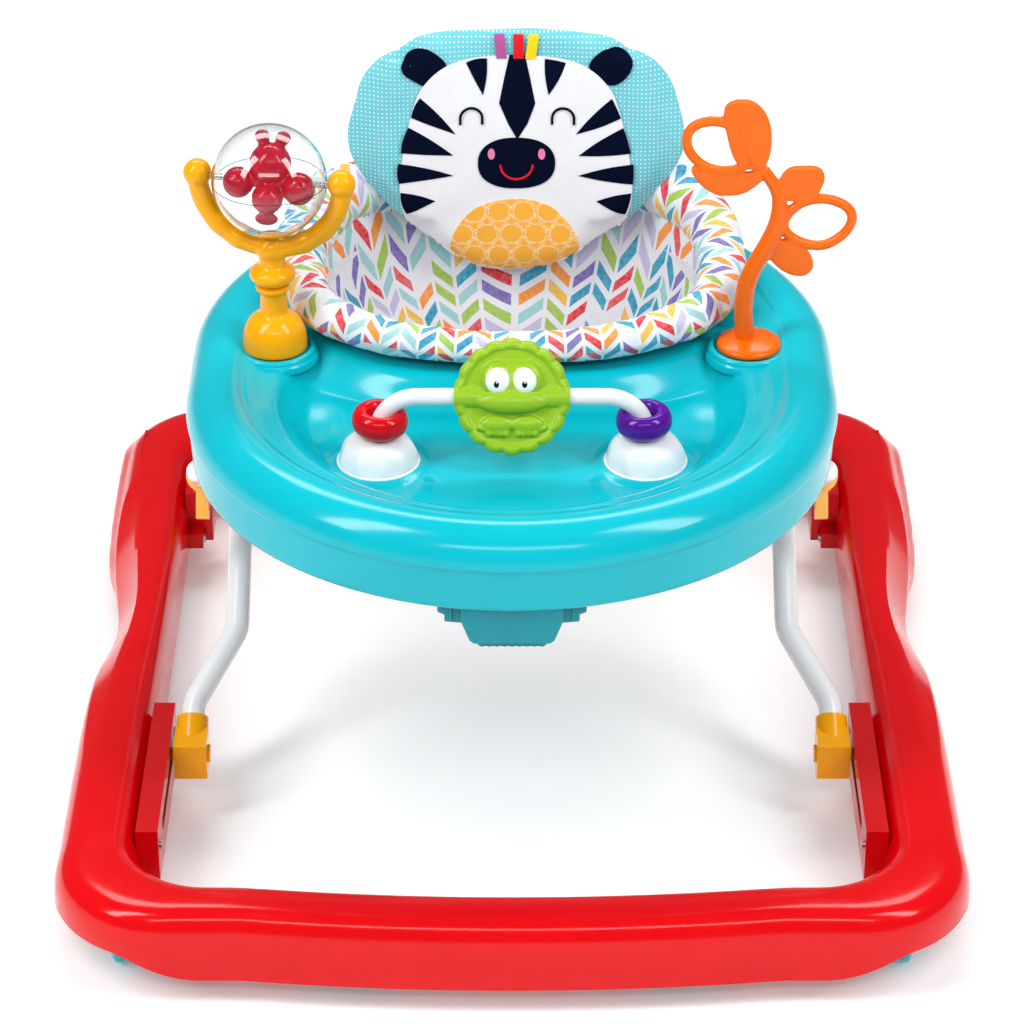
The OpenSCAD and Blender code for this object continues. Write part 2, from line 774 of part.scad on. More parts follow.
module half_ball(up) {
    color("lightcyan", 0.4) at_ball() difference() {
        sphere(r = ball_r, $fn = 64);
        sphere(r = ball_r - 2, $fn = 64);
        translate([0, 0, up ? -50 : 50]) cube(100, center = true);
        cyl_x(2.5 + run, 120);
    }
}

module ball_shell_upper() { half_ball(true); }
module ball_shell_lower() { half_ball(false); }

// Cluster of balls that tumbles round the axle inside the clear ball
module ball_beads() {
    color("crimson") at_ball() {
        rotate([0, 90, 0]) rotate_extrude() difference() {
            union() {
                circle(r = 14);
                for (x = [-1, 1]) translate([0, x * 23]) circle(r = 12);
            }
            translate([-50, -50]) square([50 + 2.5 + run, 100]);
        }
        difference() {
            union() {
                translate([0, 0, 17]) sphere(r = 11.5);
                translate([0, 0, -21]) sphere(r = 12);
                for (x = [-1, 1]) translate([x * 7, -3, 29]) sphere(r = 5.5);
            }
            cyl_x(8, 60);
        }
    }
}

module plant_base() {
    color("darkorange") translate([toy_x, toy_y, deck_z + 1.7]) {
        rotate_extrude() polygon([[0, 0], [25, 0], [25, 3], [22, 6], [13, 9], [10, 14], [0, 14]]);
        translate([0, 0, -30]) cylinder(r = 7.8, h = 30);
    }
}

// The plant is drawn in its own upright plane, as [across, up] from its foot
stalk = [[-3, 8], [-6, 38], [-2, 62], [9, 85], [18, 103], [20, 120], [17, 134], [4, 152]];
module stroke(p, width) {
    for (i = [0:len(p) - 2]) translate(p[i]) rotate([0, 0, heading(p, i)]) {
        translate([0, -width / 2]) square([norm(p[i + 1] - p[i]), width]);
        circle(r = width / 2);
    }
}
module leaf(at, long, wide, turn) {
    rise = (long * long - wide * wide) / (4 * wide);
    translate(at) rotate([0, 0, turn]) intersection() {
        translate([0, -rise]) circle(r = rise + wide / 2);
        translate([0, rise]) circle(r = rise + wide / 2);
    }
}
// Loops on the plant, each as [across, up, half width, half height]
loops = [[-31, 173, 26, 24], [51, 108, 28, 24]];
loop_w = 8;
// Outline of the plant, with its inner corners softened by the offsets
module plant_outline() {
    offset(r = -1.5, $fn = 24) offset(r = 1.5, $fn = 24) {
        stroke(stalk, 14);
        leaf([-7, 181.5], 64, 38, 104);
        leaf([-21, 143], 54, 22, -6);
        leaf([36, 140], 40, 26, 8);
        leaf([31, 77], 40, 24, -22);
        for (k = loops) translate([k[0], k[1]]) difference() {
            scale([k[2], k[3]]) circle(r = 1);
            scale([k[2] - loop_w, k[3] - loop_w]) circle(r = 1);
        }
    }
}

module plant_stalk() {
    color("darkorange") translate([toy_x, toy_y, deck_z]) rotate([90, 0, 0])
        linear_extrude(height = 10, center = true) plant_outline();
}

module bar_domes() {
    color("white") for (x = [-dome_x, dome_x]) translate([x, dome_y, floor_z + 0.2]) difference() {
        union() {
            rotate_extrude() polygon([[0, 0], [30, 0], [30.5, 4], [29, 11], [25, 17], [18, 21.5], [10, 23.5],
                [0, 23.5]]);
            translate([0, 0, -9]) cylinder(r = 7.8, h = 10);
        }
        translate([0, 0, 4]) cylinder(r = bar_r, h = 40);
    }
}

bar_span = dome_x - bend_r;
module play_bar() {
    color("white") translate([0, dome_y, 0]) {
        translate([0, 0, bar_z]) cyl_x(bar_r, 2 * bar_span);
        both_sides() {
            translate([bar_span, 0, bend_z]) rotate([90, 0, 0]) rotate_extrude(angle = 90)
                translate([bend_r, 0]) circle(r = bar_r);
            translate([dome_x, 0, floor_z + 4.4]) cylinder(r = bar_r, h = bend_z - floor_z - 4.4);
        }
    }
}

bead_hole = 8.8;
bead_tube = 6.3;
module bead(side, tint) {
    // Sits square to the bar where it starts to bend
    lean = asin((bead_z - bend_z) / bend_r);
    color(tint) on_side(side) translate([bar_span, dome_y, bend_z]) rotate([0, -lean, 0])
        translate([bend_r, 0, 0]) rotate_extrude() translate([bead_hole + bead_tube, 0])
        circle(r = bead_tube);
}

module bead_left() { bead(-1, "red"); }
module bead_right() { bead(1, "indigo"); }

module at_disc() {
    translate([0, dome_y, bar_z]) rotate([90 - disc_tilt, 0, 0]) children();
}
scallops = 18;
// One moulded half of the disc, facing up its own Z; the two halves meet back to back
module disc_half() {
    color("yellowgreen") difference() {
        union() {
            translate([0, 0, 0.1]) cylinder(r = disc_r - 2.5, h = 7.9);
            for (i = [0:scallops - 1]) rotate([0, 0, 360 * i / scallops])
                translate([disc_r - 4.5, 0, 0.1]) cylinder(r = 6.2, h = 5.9, $fn = 24);
            intersection() {
                cyl_x(10.5, 2 * disc_r + 6);
                translate([-60, -60, 0.1]) cube([120, 120, 20]);
            }
        }
        cyl_x(bar_r + run, 120);
        for (s = [-1, 1]) for (k = [-1, 1]) translate([s * 22, k * 25, -1]) cylinder(r = 1.5, h = 6);
    }
}

module disc_front() { at_disc() disc_half(); }
module disc_back() { at_disc() rotate([180, 0, 0]) disc_half(); }

module disc_eyes() {
    color("white") at_disc() for (x = [-11, 11]) translate([x, 17, 8.1]) intersection() {
        sphere(r = 11);
        translate([-20, -20, 0]) cube(40);
    }
}

base_shell();
grip_pads();
front_guide_left();
front_guide_right();
rear_block_left();
rear_block_right();
caster_sockets();
rear_wheel_mounts();
rear_axles();
base_screws();
caster_fork_left();
caster_fork_right();
front_axle_left();
front_axle_right();
front_wheel_left();
front_wheel_right();
rear_wheel_left();
rear_wheel_right();
rear_tube();
rear_feet();
tube_clips();
cross_washers();
front_tubes();
front_feet();
slider_pins();
cross_pins();
top_pins();
tray_top();
tray_bottom();
tray_hinges();
tray_screws();
frame_track();
adjuster_housing();
adjuster_handle();
adjuster_spring();
seat_ring();
seat_clips();
seat_roll();
seat_sling();
seat_back();
back_board();
spinner_base();
spinner_fork();
ball_axle();
ball_shell_upper();
ball_shell_lower();
ball_beads();
plant_base();
plant_stalk();
bar_domes();
play_bar();
bead_left();
bead_right();
disc_front();
disc_back();
disc_eyes();
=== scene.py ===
import json
import math

import bmesh
import bpy
import numpy as np
from mathutils import Matrix, Vector, noise
from mathutils.bvhtree import BVHTree


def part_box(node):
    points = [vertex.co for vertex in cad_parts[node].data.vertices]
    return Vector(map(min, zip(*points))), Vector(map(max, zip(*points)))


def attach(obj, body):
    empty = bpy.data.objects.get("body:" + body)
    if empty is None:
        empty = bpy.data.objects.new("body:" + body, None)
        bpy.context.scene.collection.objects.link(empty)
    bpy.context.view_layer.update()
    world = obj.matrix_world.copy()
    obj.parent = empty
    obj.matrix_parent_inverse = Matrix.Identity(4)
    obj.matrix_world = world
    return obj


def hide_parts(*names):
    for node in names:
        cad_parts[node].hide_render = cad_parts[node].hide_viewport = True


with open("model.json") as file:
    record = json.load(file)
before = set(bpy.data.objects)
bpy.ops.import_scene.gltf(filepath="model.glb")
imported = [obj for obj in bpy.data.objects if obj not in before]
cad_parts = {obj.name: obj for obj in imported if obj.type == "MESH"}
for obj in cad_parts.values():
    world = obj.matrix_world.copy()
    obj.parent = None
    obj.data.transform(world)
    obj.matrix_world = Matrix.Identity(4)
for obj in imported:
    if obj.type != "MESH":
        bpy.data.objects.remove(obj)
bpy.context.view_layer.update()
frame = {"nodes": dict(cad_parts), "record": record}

# The looks of the baby walker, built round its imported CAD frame. Shapes are worked out in
# millimetres in the frame's own axes: front is -Y and +Z is up. new_piece() turns them into metres.
MM = 0.001
nodes = frame["nodes"]


def box_mm(node):
    low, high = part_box(node)
    return np.array(low) / MM, np.array(high) / MM


# ---------------------------------------------------------------- camera, light and floor
CAMERA_UP = 31
CAMERA_FAR = 2.967
LENS, SENSOR = 130.1, 36
AIM = Vector((0, 0, 0.195))
LIGHT_AIM = Vector((0, 0, 0.2))
# Each soft box: place, width and height, watts
LIGHTS = {"key": ((-1.5, -0.9, 2.0), (0.5, 1.7), 37), "fill": ((1.5, -0.9, 2.0), (0.5, 1.7), 31),
          "top": ((0, 1.3, 2.2), (2.2, 0.6), 29), "front": ((0, -2.6, 2.4), (2.4, 0.4), 23)}
WORLD_LIGHT = 0.22
FLOOR_REACH = 14


def make_camera():
    data = bpy.data.cameras.new("camera")
    data.sensor_width = SENSOR
    data.lens = LENS
    data.clip_end = 20
    camera = bpy.data.objects.new("camera", data)
    up = math.radians(CAMERA_UP)
    camera.location = AIM + CAMERA_FAR * Vector((0, -math.cos(up), math.sin(up)))
    camera.rotation_euler = (math.pi / 2 - up, 0, 0)
    bpy.context.scene.collection.objects.link(camera)
    bpy.context.scene.camera = camera


def area_light(name, place, size, power):
    data = bpy.data.lights.new(name, "AREA")
    data.shape = "RECTANGLE"
    data.size, data.size_y = size
    data.energy = power
    light = bpy.data.objects.new(name, data)
    light.location = place
    light.rotation_euler = (LIGHT_AIM - Vector(place)).to_track_quat("-Z", "Y").to_euler()
    bpy.context.scene.collection.objects.link(light)


def make_studio():
    bpy.context.scene.view_settings.view_transform = "Standard"
    world = bpy.data.worlds.new("studio")
    bpy.context.scene.world = world
    world.use_nodes = True
    world.node_tree.nodes["Background"].inputs["Color"].default_value = (1, 1, 1, 1)
    world.node_tree.nodes["Background"].inputs["Strength"].default_value = WORLD_LIGHT
    for name, look in LIGHTS.items():
        area_light(name, *look)
    data = bpy.data.meshes.new("floor")
    corners = [(x * FLOOR_REACH, y * FLOOR_REACH, 0) for x, y in ((-1, -1), (1, -1), (1, 1), (-1, 1))]
    data.from_pydata(corners, [], [(0, 1, 2, 3)])
    floor = bpy.data.objects.new("floor", data)
    bpy.context.scene.collection.objects.link(floor)
    paint = Paint("floor_paper")
    paint.set(Base_Color=(0.93, 0.93, 0.93, 1), Roughness=0.9, Specular_IOR_Level=0.1,
              Emission_Color=(1, 1, 1, 1), Emission_Strength=0.2)
    data.materials.append(paint.material)


# ---------------------------------------------------------------- materials
def linear(red, green, blue):
    """A colour given in sRGB from 0 to 255, as the shader wants it."""
    return tuple((c / 255 / 12.92 if c < 10.3 else ((c / 255 + 0.055) / 1.055) ** 2.4)
                 for c in (red, green, blue)) + (1,)


def tint(colour, share):
    """A brighter shade of the colour, or a darker one where share is negative."""
    ends = [0 if share < 0 else min(1, 1.8 * c + 0.02) for c in colour[:3]]
    return tuple(c + (end - c) * abs(share) for c, end in zip(colour, ends)) + (1,)


class Paint:
    """One procedural material, and short ways to add nodes to it."""

    def __init__(self, name):
        self.material = bpy.data.materials.new(name)
        self.material.use_nodes = True
        self.tree = self.material.node_tree
        self.shader = self.tree.nodes["Principled BSDF"]

    def set(self, **values):
        for name, value in values.items():
            self.shader.inputs[name.replace("_", " ")].default_value = value
        return self

    def plug(self, source, target):
        if hasattr(source, "is_output") or hasattr(source, "links"):
            self.tree.links.new(source, target)
        else:
            target.default_value = source

    def add(self, kind, inputs=None, **props):
        node = self.tree.nodes.new("ShaderNode" + kind)
        for name, value in props.items():
            setattr(node, name, value)
        for name, value in (inputs or {}).items():
            self.plug(value, node.inputs[name])
        return node

    def math(self, operation, a, b=0.0, c=0.0):
        node = self.add("Math", operation=operation)
        for socket, value in zip(node.inputs, (a, b, c)):
            self.plug(value, socket)
        return node.outputs[0]

    def mix(self, share, a, b, blend="MIX"):
        node = self.add("Mix", data_type="RGBA", blend_type=blend)
        for place, value in ((0, share), (6, a), (7, b)):
            self.plug(value, node.inputs[place])
        return node.outputs[2]

    def between(self, value, low, high):
        """1 where the value lies between low and high, else 0."""
        return self.math("MULTIPLY", self.math("GREATER_THAN", value, low),
                         self.math("LESS_THAN", value, high))

    def distance(self, x, z):
        return self.math("SQRT", self.math("ADD", self.math("MULTIPLY", x, x), self.math("MULTIPLY", z, z)))

    def coords(self):
        return self.add("TexCoord").outputs["Object"]

    def noise(self, scale, detail=2.0, roughness=0.5, coords=None, distortion=0.0):
        """Scale is the number of lumps in a metre."""
        return self.add("TexNoise", {"Vector": coords or self.coords(), "Scale": scale,
                                     "Detail": detail, "Roughness": roughness,
                                     "Distortion": distortion}).outputs[0]

    def span(self, value, low, high, to_low=0.0, to_high=1.0):
        """The value mapped from low..high to to_low..to_high, and held there outside that range."""
        return self.add("MapRange", {"Value": value, "From Min": low, "From Max": high,
                                     "To Min": to_low, "To Max": to_high}).outputs[0]

    def bump(self, height, depth, strength=1.0, normal=None):
        """Depth is in metres."""
        inputs = {"Height": height, "Distance": depth, "Strength": strength}
        if normal:
            inputs["Normal"] = normal
        return self.add("Bump", inputs).outputs[0]

    def edge_wear_and_highlight(self, low=0.52, high=0.62):
        """High along convex edges. It places the painted edge highlight on plastic and the chips on enamel.
        """
        return self.span(self.add("NewGeometry").outputs["Pointiness"], low, high)

    def end(self, colour=None, roughness=None, normal=None):
        for name, value in (("Base Color", colour), ("Roughness", roughness), ("Normal", normal)):
            if value is not None:
                self.plug(value, self.shader.inputs[name])
        return self.material


def plastic(name, colour, rough=0.15, deeper=-0.22):
    """Glossy moulded plastic: faint flow marks, orange peel, hair scratches, and a painted highlight that
    makes its convex edges paler.
    """
    paint = Paint(name)
    paint.set(Coat_Weight=0.1, Coat_Roughness=0.06, Specular_IOR_Level=0.24)
    flow = paint.span(paint.noise(9, 3, 0.55, distortion=0.6), 0.3, 0.7)
    base = paint.mix(flow, tint(colour, deeper * 0.35), colour)
    # Painted highlight: the colour is made paler along convex edges.
    edge = paint.math("MULTIPLY", paint.edge_wear_and_highlight(), 0.2)
    base = paint.mix(edge, base, tint(colour, 0.16))
    hairs = paint.add("TexNoise", {"Vector": paint.add("Mapping", {
        "Vector": paint.coords(), "Scale": (40, 900, 300), "Rotation": (0.3, 0.5, 0.8)}).outputs[0],
        "Scale": 1.0, "Detail": 3.0}).outputs[0]
    scratch = paint.span(hairs, 0.62, 0.8)
    smear = paint.span(paint.noise(26, 4, 0.6), 0.35, 0.75, rough - 0.03, rough + 0.08)
    roughness = paint.math("MULTIPLY_ADD", scratch, 0.07, smear)
    peel = paint.bump(paint.noise(420, 2, 0.4), 0.00004, 0.35)
    return paint.end(base, roughness, paint.bump(scratch, 0.00002, 0.25, peel))


def woven(paint, colour, threads=1500, rough=0.86, sheen=0.12, mottled=0.1, shine=0.1):
    """Cloth with its weave: two crossed sets of threads, slubs, and a soft sheen. The colour is
    a plain one or another node's output, and threads is roughly their number in a metre."""
    paint.set(Sheen_Weight=sheen, Sheen_Roughness=0.45, Specular_IOR_Level=shine)
    coords = paint.coords()
    waves = [paint.add("TexWave", {"Vector": coords, "Scale": threads / 6.3, "Distortion": 1.2,
                                   "Detail": 1.0}, bands_direction=axis).outputs[1] for axis in ("X", "Z")]
    weave = paint.math("MAXIMUM", waves[0], waves[1])
    slub = paint.noise(threads * 0.35, 3, 0.6, coords=coords)
    shade = paint.span(paint.math("MULTIPLY", weave, slub), 0.1, 0.6, -0.5, 0.5)
    if isinstance(colour, tuple):
        light, dark = tint(colour, 0.1), tint(colour, -mottled * 1.6)
        base = paint.mix(paint.math("ADD", shade, 0.5), dark, light)
    else:
        worn = paint.mix(paint.span(weave, 0.2, 0.9), (0.86, 0.86, 0.88, 1), (1, 1, 1, 1))
        base = paint.mix(0.6, colour, worn, "MULTIPLY")
    rumple = paint.bump(paint.noise(55, 3, 0.55, coords=coords), 0.0011, 0.35)
    normal = paint.bump(weave, 0.00018, 0.5, rumple)
    return paint.end(base, paint.span(slub, 0.3, 0.7, rough - 0.06, rough + 0.06), normal)


WHITE = linear(232, 234, 240)
PRINT_COLOURS = [linear(*c) for c in (
    (20, 160, 190), (150, 205, 208), (224, 40, 50), (158, 196, 70), (228, 232, 236), (122, 106, 182),
    (245, 146, 36), (22, 150, 185), (240, 186, 60), (196, 190, 222), (158, 208, 210), (226, 78, 84))]
# Width of a printed column, and the height from one dash in it to the next, in millimetres
COLUMN = 17.0
REPEAT = 17.0
DASH_SHARE = 0.6
COLUMN_GAP = 1.4


def herringbone_print():
    """White cloth printed with slanted dashes in columns. Its pattern follows the piece's UV map, in
    millimetres of cloth."""
    paint = Paint("herringbone_cloth")
    parts = paint.add("SeparateXYZ", {0: paint.add("UVMap", uv_map="cloth").outputs[0]})
    along = parts.outputs[1]
    across = paint.math("MULTIPLY_ADD", paint.noise(16, 1, 0.4), 2.5, parts.outputs[0])
    column = paint.math("FLOOR", paint.math("DIVIDE", across, COLUMN))
    inside = paint.math("SUBTRACT", across, paint.math("MULTIPLY", column, COLUMN))
    turn = paint.math("MULTIPLY_ADD", paint.math("PINGPONG", column, 1.0), -2.0, 1.0)
    slanted = paint.math("MULTIPLY_ADD", paint.math("MULTIPLY", inside, turn), 1.0, along)
    row = paint.math("FLOOR", paint.math("DIVIDE", slanted, REPEAT))
    height = paint.math("SUBTRACT", slanted, paint.math("MULTIPLY", row, REPEAT))
    dash = paint.math("LESS_THAN", height, DASH_SHARE * REPEAT)
    gap = paint.between(inside, COLUMN_GAP, COLUMN - COLUMN_GAP)
    cell = paint.add("CombineXYZ", {0: column, 1: row}).outputs[0]
    chance = paint.add("TexWhiteNoise", {"Vector": cell}, noise_dimensions="3D").outputs[0]
    ramp = paint.add("ValToRGB", {"Fac": chance})
    ramp.color_ramp.interpolation = "CONSTANT"
    stops = ramp.color_ramp.elements
    for i, colour in enumerate(PRINT_COLOURS):
        stop = stops[0] if i == 0 else stops.new(i / len(PRINT_COLOURS))
        stop.color = colour
        stop.position = i / len(PRINT_COLOURS)
    stops.remove(stops[-1])
    ink = paint.mix(paint.span(paint.noise(300, 2), 0.3, 0.7, 0.0, 0.18), ramp.outputs[0], WHITE)
    printed = paint.mix(paint.math("MULTIPLY", dash, gap), WHITE, ink)
    return woven(paint, printed, threads=1300)


def dotted_cloth(name, colour):
    """Pale cloth with upright rows of small white dots."""
    paint = Paint(name)
    parts = paint.add("SeparateXYZ", {0: paint.coords()})
    gap, dot = 0.0068, 0.0006
    x, z = (paint.math("SUBTRACT", paint.math("PINGPONG", parts.outputs[axis], gap / 2), gap / 4)
            for axis in (0, 2))
    spots = paint.math("LESS_THAN", paint.distance(x, z), dot)
    shade = paint.mix(paint.span(paint.noise(14, 3), 0.3, 0.7), tint(colour, -0.12), tint(colour, 0.06))
    return woven(paint, paint.mix(spots, shade, WHITE))


def lace_cloth():
    """Orange cloth under white crocheted cells."""
    paint = Paint("orange_lace")
    cell, wobble_size = 0.020, 0.0012
    drift = paint.add("TexNoise", {"Vector": paint.coords(), "Scale": 420.0}).outputs[1]
    drift = paint.add("VectorMath", {0: drift, "Scale": wobble_size}, operation="SCALE").outputs[0]
    wobble = paint.add("VectorMath", {0: paint.coords(), 1: drift}, operation="ADD").outputs[0]
    flat = paint.add("VectorMath", {0: wobble, 1: (1 / cell, 0, 1.06 / cell)}, operation="MULTIPLY")
    parts = paint.add("SeparateXYZ", {0: flat.outputs[0]})
    row = paint.math("FLOOR", parts.outputs[2])
    x = paint.math("MULTIPLY_ADD", paint.math("PINGPONG", row, 1.0), 0.5, parts.outputs[0])
    fx = paint.math("SUBTRACT", paint.math("FRACT", x), 0.5)
    fz = paint.math("SUBTRACT", paint.math("FRACT", parts.outputs[2]), 0.5)
    far = paint.distance(fx, fz)
    thread = paint.math("MAXIMUM", paint.between(far, 0.415, 0.45), paint.between(far, 0.5, 0.53))
    gaps = paint.math("GREATER_THAN", paint.noise(1100, 2), 0.46)
    orange = linear(254, 182, 66)
    base = paint.mix(paint.math("MULTIPLY", thread, gaps), orange, linear(255, 247, 228))
    return woven(paint, base, threads=1700)


def clear_plastic():
    """Clear moulded plastic, with faint haze and handling marks."""
    paint = Paint("clear_ball")
    paint.set(Base_Color=(0.97, 0.985, 1.0, 1), Transmission_Weight=1.0, IOR=1.4,
              Specular_IOR_Level=0.5)
    haze = paint.span(paint.noise(60, 4, 0.6), 0.5, 0.8, 0.0, 0.03)
    return paint.end(None, haze, paint.bump(paint.noise(90, 2), 0.00006, 0.2))


def metal(name, colour, rough):
    """Plated steel with drawn marks round it and a little dulling."""
    paint = Paint(name)
    paint.set(Metallic=1.0)
    base = paint.mix(paint.span(paint.noise(120, 4), 0.35, 0.7), tint(colour, -0.25), colour)
    marks = paint.noise(900, 2)
    return paint.end(base, paint.span(marks, 0.3, 0.7, rough - 0.06, rough + 0.1),
                     paint.bump(marks, 0.00002, 0.3))


def rubber(name, colour):
    """Matt rubber with a fine grain and pale scuffs."""
    paint = Paint(name)
    paint.set(Specular_IOR_Level=0.3)
    scuff = paint.span(paint.noise(70, 5, 0.65), 0.52, 0.72, 0.0, 0.5)
    base = paint.mix(scuff, colour, tint(colour, 0.18))
    return paint.end(base, paint.span(paint.noise(300), 0.3, 0.7, 0.65, 0.85),
                     paint.bump(paint.noise(1600, 2), 0.0001, 0.4))


def enamel(name, colour):
    """Powder-coated tube: satin white with fine pebbling and small chips at the edges."""
    paint = Paint(name)
    paint.set(Coat_Weight=0.25, Coat_Roughness=0.12)
    base = paint.mix(paint.span(paint.noise(18, 3), 0.3, 0.7), tint(colour, -0.05), colour)
    base = paint.mix(paint.math("MULTIPLY", paint.edge_wear_and_highlight(0.56, 0.7), 0.5), base, linear(214, 216, 220))
    pebble = paint.noise(650, 2, 0.5)
    return paint.end(base, paint.span(pebble, 0.3, 0.7, 0.2, 0.32), paint.bump(pebble, 0.00005, 0.4))


# sRGB colour, then roughness and depth of the flow marks where they aren't the usual ones
PLASTICS = {
    "red_plastic": (224, 2, 12),
    "dark_red_plastic": (202, 2, 10, 0.22),
    "teal_plastic": (6, 184, 200),
    "dark_teal_plastic": (2, 146, 160, 0.26),
    "yellow_plastic": (252, 170, 2, 0.18),
    "orange_plastic": (248, 106, 2, 0.24),
    "white_plastic": (232, 234, 237, 0.15, -0.08),
    "green_plastic": (150, 192, 38, 0.26),
    "bead_red": (216, 4, 22, 0.14),
    "bead_purple": (84, 14, 146, 0.14),
    "bug_red": (208, 6, 44, 0.18),
    "black_plastic": (18, 18, 22, 0.2),
    "eye_white": (250, 250, 250, 0.2, -0.05),
}
NAVY = (5, 13, 38)
RIBBON = {"threads": 1900, "sheen": 0.5, "rough": 0.6}
# Plain cloths, threads and ribbons of the seat back: sRGB colour and weave
CLOTHS = {
    "white_cloth": ((238, 240, 245), {"threads": 1600, "mottled": 0.05}),
    "navy_cloth": (NAVY, {"threads": 2600, "sheen": 0.0, "mottled": 0.2, "shine": 0.02}),
    "pink_cloth": ((240, 130, 176), {"threads": 1600}),
    "red_thread": ((235, 24, 40), {"threads": 2400}),
    "navy_thread": (NAVY, {"threads": 2400, "sheen": 0.0, "shine": 0.02}),
    "purple_ribbon": ((176, 84, 150), RIBBON),
    "red_ribbon": ((226, 16, 26), RIBBON),
    "yellow_ribbon": ((252, 212, 6), RIBBON),
}
M = {name: plastic(name, linear(*look[:3]), *look[3:]) for name, look in PLASTICS.items()}
M.update({name: woven(Paint(name), linear(*colour), **weave) for name, (colour, weave) in CLOTHS.items()})
M.update({
    "clear_plastic": clear_plastic(),
    "white_enamel": enamel("white_enamel", linear(240, 241, 243)),
    "steel": metal("steel", linear(205, 208, 212), 0.25),
    "rubber_grey": rubber("rubber_grey", linear(88, 92, 98)),
    "print_fabric": herringbone_print(),
    "back_fabric": dotted_cloth("back_fabric", linear(112, 204, 216)),
    "orange_lace": lace_cloth(),
})


# ---------------------------------------------------------------- shapes
def spow(value, power):
    """A power that keeps the sign."""
    return np.sign(value) * np.abs(value) ** power


def unit(v):
    v = np.asarray(v, float)
    return v / np.linalg.norm(v)


def smooth_step(value, low, high):
    """Rises smoothly from 0 at low to 1 at high."""
    t = np.clip((np.asarray(value, float) - low) / (high - low), 0, 1)
    return t * t * (3 - 2 * t)


def soften(points, rounds=3, closed=False):
    """Cuts the corners of a line or outline again and again, so that it becomes a curve."""
    points = np.asarray(points, float)
    for _ in range(rounds):
        ahead = np.roll(points, -1, axis=0)
        near, far = 0.75 * points + 0.25 * ahead, 0.25 * points + 0.75 * ahead
        cut = np.stack([near, far], 1).reshape(-1, points.shape[1])
        points = cut if closed else np.concatenate([points[:1], cut[1:-3], points[-1:]])
    return points


def arc(centre, radius, start, stop, steps):
    """Points on an arc in a plane. Its angles are in degrees."""
    a = np.radians(np.linspace(start, stop, steps + 1))
    return [(centre[0] + radius * math.cos(t), centre[1] + radius * math.sin(t)) for t in a]


def grid(rows, close_rows=False, close_columns=False, caps=False):
    """Points and faces of a surface over rows of points. Caps close the first and last rows."""
    rows = np.asarray(rows, float)
    count, width = rows.shape[:2]
    i = np.arange(count if close_rows else count - 1)[:, None]
    j = np.arange(width if close_columns else width - 1)[None, :]
    k, m = (i + 1) % count, (j + 1) % width
    corners = [i * width + j, i * width + m, k * width + m, k * width + j]
    faces = np.stack(corners, -1).reshape(-1, 4).tolist()
    if caps:
        faces.append(list(range(width))[::-1])
        faces.append([(count - 1) * width + n for n in range(width)])
    return rows.reshape(-1, 3), faces


def lathe(profile, steps=64, centre=(0, 0, 0), closed=False):
    """Turns a profile of [radius, height] points round an upright axis."""
    a = np.linspace(0, 2 * math.pi, steps, endpoint=False)
    rows = [[(r * math.cos(t), r * math.sin(t), z) for t in a] for r, z in profile]
    points, faces = grid(rows, close_rows=closed, close_columns=True)
    return points + np.array(centre), faces


def tube(path, radius, sides=24, caps=True, closed=False):
    """A round bar along a path. Its radius is one number, or one for each point."""
    path = np.asarray(path, float)
    radii = np.broadcast_to(np.asarray(radius, float), (len(path),))
    if closed:
        tangents = np.roll(path, -1, axis=0) - np.roll(path, 1, axis=0)
    else:
        tangents = np.gradient(path, axis=0)
    normal = np.cross(tangents[0], (0, 0, 1) if abs(unit(tangents[0])[2]) < 0.9 else (1, 0, 0))
    a = np.linspace(0, 2 * math.pi, sides, endpoint=False)
    rows = []
    for place, tangent, r in zip(path, tangents, radii):
        tangent = unit(tangent)
        normal = unit(normal - tangent * np.dot(normal, tangent))
        side = np.cross(tangent, normal)
        rows.append([place + r * (math.cos(t) * normal + math.sin(t) * side) for t in a])
    return grid(rows, close_rows=closed, close_columns=True, caps=caps and not closed)


def ball(centre, size, steps=32, flat=(1, 1, 1)):
    """A ball, or an egg where flat scales its axes."""
    a = np.radians(np.linspace(-90, 90, steps // 2 + 1))
    points, faces = lathe([(math.cos(t), math.sin(t)) for t in a], steps)
    return points * size * np.array(flat) + np.array(centre), faces


def joined(*parts):
    """Several shapes as one."""
    points, faces, start = [], [], 0
    for p, f in parts:
        points.append(np.asarray(p, float))
        faces += [[i + start for i in face] for face in f]
        start += len(p)
    return np.concatenate(points), faces


def placed(shape, matrix=None, move=(0, 0, 0)):
    """A shape turned by a matrix, then moved."""
    points, faces = shape
    if matrix is not None:
        points = np.asarray(points) @ np.array(matrix).T
    return points + np.array(move, float), faces


def turn(axis, degrees):
    return np.array(Matrix.Rotation(math.radians(degrees), 3, axis))


def mirrored(shape):
    points, faces = shape
    return np.asarray(points) * (-1, 1, 1), [list(f)[::-1] for f in faces]


def extruded(outline, depth):
    """A flat outline [across, up] made into a plate in the XZ plane, its middle on Y = 0."""
    n = len(outline)
    points = [(x, y, z) for y in (-depth / 2, depth / 2) for x, z in outline]
    faces = [list(range(n)), list(range(2 * n - 1, n - 1, -1))]
    faces += [[i, i + n, (i + 1) % n + n, (i + 1) % n] for i in range(n)]
    return np.array(points, float), faces


# ---------------------------------------------------------------- pieces
def new_object(name, shape, material, uv=None):
    """A mesh object from a shape in millimetres. A piece with a UV map keeps its seams unwelded."""
    points, faces = shape
    mesh = bpy.data.meshes.new(name)
    mesh.from_pydata((np.asarray(points) * MM).tolist(), [], faces)
    if uv is not None:
        layer = mesh.uv_layers.new(name="cloth")
        layer.data.foreach_set("uv", np.asarray(uv, float).reshape(-1))
    build = bmesh.new()
    build.from_mesh(mesh)
    if uv is None:
        bmesh.ops.remove_doubles(build, verts=build.verts, dist=1e-6)
    bmesh.ops.recalc_face_normals(build, faces=build.faces)
    build.to_mesh(mesh)
    build.free()
    mesh.materials.append(M[material])
    mesh.shade_smooth()
    piece = bpy.data.objects.new(name, mesh)
    bpy.context.scene.collection.objects.link(piece)
    return piece


